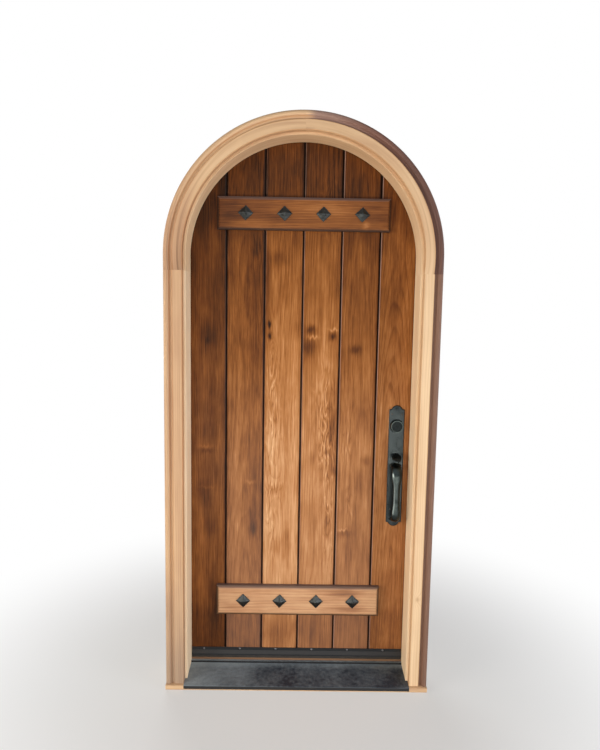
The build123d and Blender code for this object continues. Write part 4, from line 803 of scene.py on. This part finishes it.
def rubber(name, colour):
    """Extruded rubber: matt, with a faint bloom."""
    material, tree = new_material(name)
    place = add(tree, "TexCoord").outputs["Object"]
    bloom = add(tree, "TexNoise", {"Vector": place, "Scale": 60.0, "Detail": 4.0})
    tint = mixed(tree, bloom.outputs[0], linear(colour), "#3a3632")
    shader = add(tree, "BsdfPrincipled", {"Base Color": tint, "Roughness": 0.75})
    finish_with(tree, shader)
    return material


dress(rubber("black_rubber", "#121212"), "sweep_fin")
dress(
    rubber("brown_weatherstrip", "#2c1c12"),
    "weatherstrip_left", "weatherstrip_right", "weatherstrip_arch",
)

# Forged studs and screw heads, modelled in the front's direction and copied to their places


def lone_piece(name):
    """Name the object that was just added, fix its place in its mesh, and return it."""
    piece = bpy.context.object
    piece.name = name
    piece.data.name = name
    bpy.ops.object.transform_apply(location=True, rotation=True, scale=True)
    return piece


def pick_faces(piece, wanted):
    """Leave a piece in edit mode with the faces selected whose middle and normal are wanted."""
    bpy.ops.object.mode_set(mode="EDIT")
    bpy.ops.mesh.select_mode(type="FACE")
    bpy.ops.mesh.select_all(action="DESELECT")
    bpy.ops.object.mode_set(mode="OBJECT")
    for face in piece.data.polygons:
        face.select = wanted(face.center, face.normal)
    bpy.ops.object.mode_set(mode="EDIT")


def apply_modifier(piece, name, kind, **settings):
    """Add a modifier with its settings and apply it."""
    modifier = piece.modifiers.new(name, kind)
    for setting, value in settings.items():
        setattr(modifier, setting, value)
    bpy.ops.object.modifier_apply(modifier=name)


def copy_to(piece, places, turns):
    """Copies of a piece with their own meshes, each at a place with a turn; the first goes."""
    copies = []
    for place, turn in zip(places, turns):
        copy = piece.copy()
        copy.data = piece.data.copy()
        bpy.context.scene.collection.objects.link(copy)
        copy.data.transform(Matrix.Translation(place) @ turn)
        copies.append(copy)
    bpy.data.objects.remove(piece)
    return copies


def joined(copies, name):
    """One piece made of all the copies."""
    bpy.ops.object.select_all(action="DESELECT")
    for copy in copies:
        copy.select_set(True)
    bpy.context.view_layer.objects.active = copies[0]
    bpy.ops.object.join()
    copies[0].name = name
    copies[0].data.name = name
    return copies[0]


STUD_SIDE = 0.042
STUD_RIM = 0.0025
STUD_LEDGE = 0.0016
STUD_RISE = 0.0115
STUD_TIP_SHARE = 0.16
STUD_EASE = 0.0011
STUD_COLUMNS = (-0.2285, -0.07617, 0.07617, 0.2285)
STUD_ROWS = (1.9065, 0.319)
STUD_TURNS = (1.5, -2.0, 0.8, 2.4, -1.2, 1.9, -0.6, -2.3)


def forged_stud():
    """A hammered square pyramid on a low rim, turned to stand on a corner."""
    bpy.ops.object.select_all(action="DESELECT")
    bpy.ops.mesh.primitive_cube_add(
        size=1.0,
        location=(0.0, -STUD_RIM / 2, 0.0),
        rotation=(0.0, math.pi / 4, 0.0),
        scale=(STUD_SIDE, STUD_RIM, STUD_SIDE),
    )
    stud = lone_piece("forged_studs")
    pick_faces(stud, lambda middle, normal: normal.y < -0.9)
    bpy.ops.mesh.inset(thickness=STUD_LEDGE)
    bpy.ops.mesh.extrude_region_move(TRANSFORM_OT_translate={"value": (0.0, -STUD_RISE, 0.0)})
    bpy.ops.transform.resize(
        value=(STUD_TIP_SHARE, 1.0, STUD_TIP_SHARE), center_override=(0.0, -STUD_RISE, 0.0)
    )
    bpy.ops.mesh.select_all(action="SELECT")
    bpy.ops.mesh.bevel(offset=STUD_EASE, segments=2, affect="EDGES")
    bpy.ops.object.mode_set(mode="OBJECT")
    apply_modifier(
        stud, "Finer", "SUBSURF", subdivision_type="SIMPLE", levels=3, render_levels=3
    )
    return stud


def hammered(copies):
    """Beat each copy with shallow dents that differ from place to place."""
    dents = bpy.data.textures.new("hammer_dents", "VORONOI")
    dents.noise_scale = 0.0075
    wobble = bpy.data.textures.new("hand_forged_wobble", "CLOUDS")
    wobble.noise_scale = 0.020
    for copy in copies:
        bpy.ops.object.select_all(action="DESELECT")
        copy.select_set(True)
        bpy.context.view_layer.objects.active = copy
        for name, texture, strength in (("Wobble", wobble, 0.0022), ("Dents", dents, 0.0011)):
            apply_modifier(
                copy, name, "DISPLACE", texture=texture, texture_coords="GLOBAL",
                strength=strength, mid_level=0.5,
            )
        bpy.ops.object.shade_smooth_by_angle(angle=math.radians(50))


stud_places = [Vector((x, BATTEN_FACE, z)) for z in STUD_ROWS for x in STUD_COLUMNS]
stud_turns = [Matrix.Rotation(math.radians(turn), 4, "Y") for turn in STUD_TURNS]
stud_copies = copy_to(forged_stud(), stud_places, stud_turns)
hammered(stud_copies)
studs = joined(stud_copies, "forged_studs")
studs.data.materials.append(forged_iron)
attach(studs, "door_leaf")
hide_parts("studs")

HEAD_RADIUS = 0.0042
HEAD_DEPTH = 0.0012
HEAD_SINK = 0.0002
RECESS = (0.0046, 0.0013, 0.0009)


def screw_head(proud):
    """A low domed head with a cross recess; it stands proud of the face by that much."""
    bpy.ops.object.select_all(action="DESELECT")
    bpy.ops.mesh.primitive_cylinder_add(
        vertices=28,
        radius=HEAD_RADIUS,
        depth=HEAD_DEPTH,
        location=(0.0, HEAD_SINK, 0.0),
        rotation=(math.pi / 2, 0.0, 0.0),
    )
    head = lone_piece("screw_head")
    for inward, rise in ((0.0010, 0.55), (0.0011, 0.30), (0.0010, 0.15)):
        pick_faces(head, lambda middle, normal: normal.y < -0.99)
        bpy.ops.mesh.inset(thickness=inward)
        bpy.ops.transform.translate(value=(0.0, -proud * rise, 0.0))
    bpy.ops.object.mode_set(mode="OBJECT")
    for turn in (0.0, math.pi / 2):
        bpy.ops.object.select_all(action="DESELECT")
        bpy.ops.mesh.primitive_cube_add(
            size=1.0,
            location=(0.0, -HEAD_SINK - proud, 0.0),
            rotation=(0.0, turn, 0.0),
            scale=RECESS,
        )
        cutter = lone_piece("recess_cutter")
        bpy.ops.object.select_all(action="DESELECT")
        head.select_set(True)
        bpy.context.view_layer.objects.active = head
        apply_modifier(head, "Recess", "BOOLEAN", operation="DIFFERENCE", object=cutter)
        bpy.data.objects.remove(cutter)
    bpy.ops.object.shade_smooth_by_angle(angle=math.radians(35))
    return head


def head_places(node, outward):
    """Middles of a CAD node's flat heads that face outward, weighed by area."""
    groups = []
    for face in nodes[node].data.polygons:
        if face.normal.dot(outward) < 0.99:
            continue
        near = [g for g in groups if (g[0] - face.center).length < 2.5 * HEAD_RADIUS]
        if near:
            near[0][1] += face.area
            near[0][2] += face.center * face.area
        else:
            groups.append([face.center.copy(), face.area, face.center * face.area])
    return [total / area for _, area, total in groups if area > 0.00002]


def screw_heads(node, body, material, outward, proud):
    """Stand recessed heads in the place of a node's plain ones."""
    outward = Vector(outward)
    places = head_places(node, outward)
    aim = Vector((0.0, -1.0, 0.0)).rotation_difference(outward).to_matrix().to_4x4()
    turns = [
        aim @ Matrix.Rotation(math.radians(37 * index), 4, "Y") for index in range(len(places))
    ]
    heads = joined(copy_to(screw_head(proud), places, turns), f"{node}_heads")
    heads.data.materials.append(material)
    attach(heads, body)
    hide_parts(node)


screw_heads("plate_screws", "door_leaf", blackened_steel, (0, -1, 0), 0.0006)
screw_heads("sweep_screws", "door_leaf", worn_steel, (0, -1, 0), 0.0012)
screw_heads("faceplate_screws", "door_leaf", blackened_steel, (1, 0, 0), 0.0)
screw_heads("strike_screws", "frame", blackened_steel, (-1, 0, 0), 0.0)
screw_heads("hinge_frame_screws", "frame", blackened_steel, (1, 0, 0), 0.0)
screw_heads("hinge_door_screws", "door_leaf", blackened_steel, (-1, 0, 0), 0.0)

# Floor, lamps and camera


# The floor turns white between these distances from the middle of the sill
FLOOR_NEAR, FLOOR_FAR = 0.6, 1.9


def sees_backdrop(tree):
    """One for the rays that see white: the camera's, and those off metal or through glass."""
    path = add(tree, "LightPath")
    seen = path.outputs["Is Camera Ray"]
    for kind in ("Is Glossy Ray", "Is Transmission Ray"):
        seen = add(tree, "Math", {0: seen, 1: path.outputs[kind]}, operation="MAXIMUM").outputs[0]
    return seen


def pale_floor():
    """A flat pale floor that takes the door's shadow and turns white further out."""
    bpy.ops.object.select_all(action="DESELECT")
    bpy.ops.mesh.primitive_plane_add(size=40.0, location=(0.0, 0.0, -0.0005))
    floor = bpy.context.object
    floor.name = "floor"
    material, tree = new_material("pale_floor")
    place = add(tree, "TexCoord").outputs["Object"]
    distance = add(tree, "VectorMath", {0: place}, operation="LENGTH")
    far = add(
        tree,
        "MapRange",
        {0: distance.outputs["Value"], 1: FLOOR_NEAR, 2: FLOOR_FAR, 3: 0.40, 4: 1.0},
        interpolation_type="SMOOTHSTEP",
    )
    white = add(
        tree, "Math", {0: far.outputs[0], 1: sees_backdrop(tree)}, operation="MULTIPLY"
    )
    matt = add(tree, "BsdfDiffuse", {"Color": linear("#dddcd8")})
    bright = add(tree, "Emission", {"Color": (1.0, 1.0, 1.0, 1.0), "Strength": 1.0})
    both = add(
        tree,
        "MixShader",
        {0: white.outputs[0], 1: matt.outputs[0], 2: bright.outputs[0]},
    )
    finish_with(tree, both)
    floor.data.materials.append(material)


pale_floor()


def light_the_room():
    """Grey daylight that is weaker from above, and a white background."""
    world = bpy.data.worlds.new("daylight")
    bpy.context.scene.world = world
    world.use_nodes = True
    tree = world.node_tree
    tree.nodes.clear()
    direction = add(tree, "TexCoord").outputs["Generated"]
    rise = add(tree, "SeparateXYZ", {0: direction}).outputs[2]
    sky = add(tree, "MapRange", {0: rise, 1: -0.1, 2: 0.7, 3: 0.55, 4: 0.08})
    light = add(
        tree, "Background", {"Color": linear("#eef2f6"), "Strength": sky.outputs[0]}
    )
    white = add(tree, "Background", {"Color": (1.0, 1.0, 1.0, 1.0), "Strength": 1.0})
    both = add(
        tree,
        "MixShader",
        {0: sees_backdrop(tree), 1: light.outputs[0], 2: white.outputs[0]},
    )
    add(tree, "OutputWorld", {"Surface": both.outputs[0]})


light_the_room()


def soft_lamp(name, place, aim, width, height, power, colour):
    """A soft lamp that looks at a point and isn't itself seen."""
    lamp = bpy.data.lights.new(name, "AREA")
    lamp.shape = "RECTANGLE"
    lamp.size = width
    lamp.size_y = height
    lamp.energy = power
    lamp.color = linear(colour)[:3]
    holder = bpy.data.objects.new(name, lamp)
    bpy.context.scene.collection.objects.link(holder)
    holder.location = place
    holder.rotation_euler = (Vector(aim) - Vector(place)).to_track_quat("-Z", "Y").to_euler()
    holder.visible_camera = False


# Two windows' worth of light from the sides, a low one for the bottom, and one for the back
soft_lamp("left_window", (-3.7, -2.3, 1.2), (0.0, 0.0, 1.0), 2.4, 2.2, 125.0, "#fff7ec")
soft_lamp("right_window", (3.8, -2.1, 1.1), (0.0, 0.0, 1.0), 2.2, 2.0, 100.0, "#fbfaff")
soft_lamp("low_bounce", (0.0, -2.9, 0.25), (0.0, 0.0, 1.7), 3.2, 0.5, 36.0, "#fff4e4")
soft_lamp("back_window", (-1.5, 4.0, 2.0), (0.0, 0.0, 1.0), 2.6, 2.4, 110.0, "#fbfbff")

# The camera's place, and its turns in degrees, fitted to the photograph
CAMERA_PLACE = (-0.0246, -2.4208, 1.5371)
CAMERA_PAN, CAMERA_PITCH, CAMERA_ROLL = -0.45, -6.28, 0.96

camera_data = bpy.data.cameras.new("camera")
camera_data.lens = 36.0
camera_data.sensor_width = 36.0
camera_data.sensor_fit = "HORIZONTAL"
camera = bpy.data.objects.new("camera", camera_data)
bpy.context.scene.collection.objects.link(camera)
camera.matrix_world = (
    Matrix.Translation(CAMERA_PLACE)
    @ Matrix.Rotation(math.radians(CAMERA_PAN), 4, "Z")
    @ Matrix.Rotation(math.radians(90 + CAMERA_PITCH), 4, "X")
    @ Matrix.Rotation(math.radians(CAMERA_ROLL), 4, "Z")
)
bpy.context.scene.camera = camera
bpy.context.scene.view_settings.view_transform = "Standard"
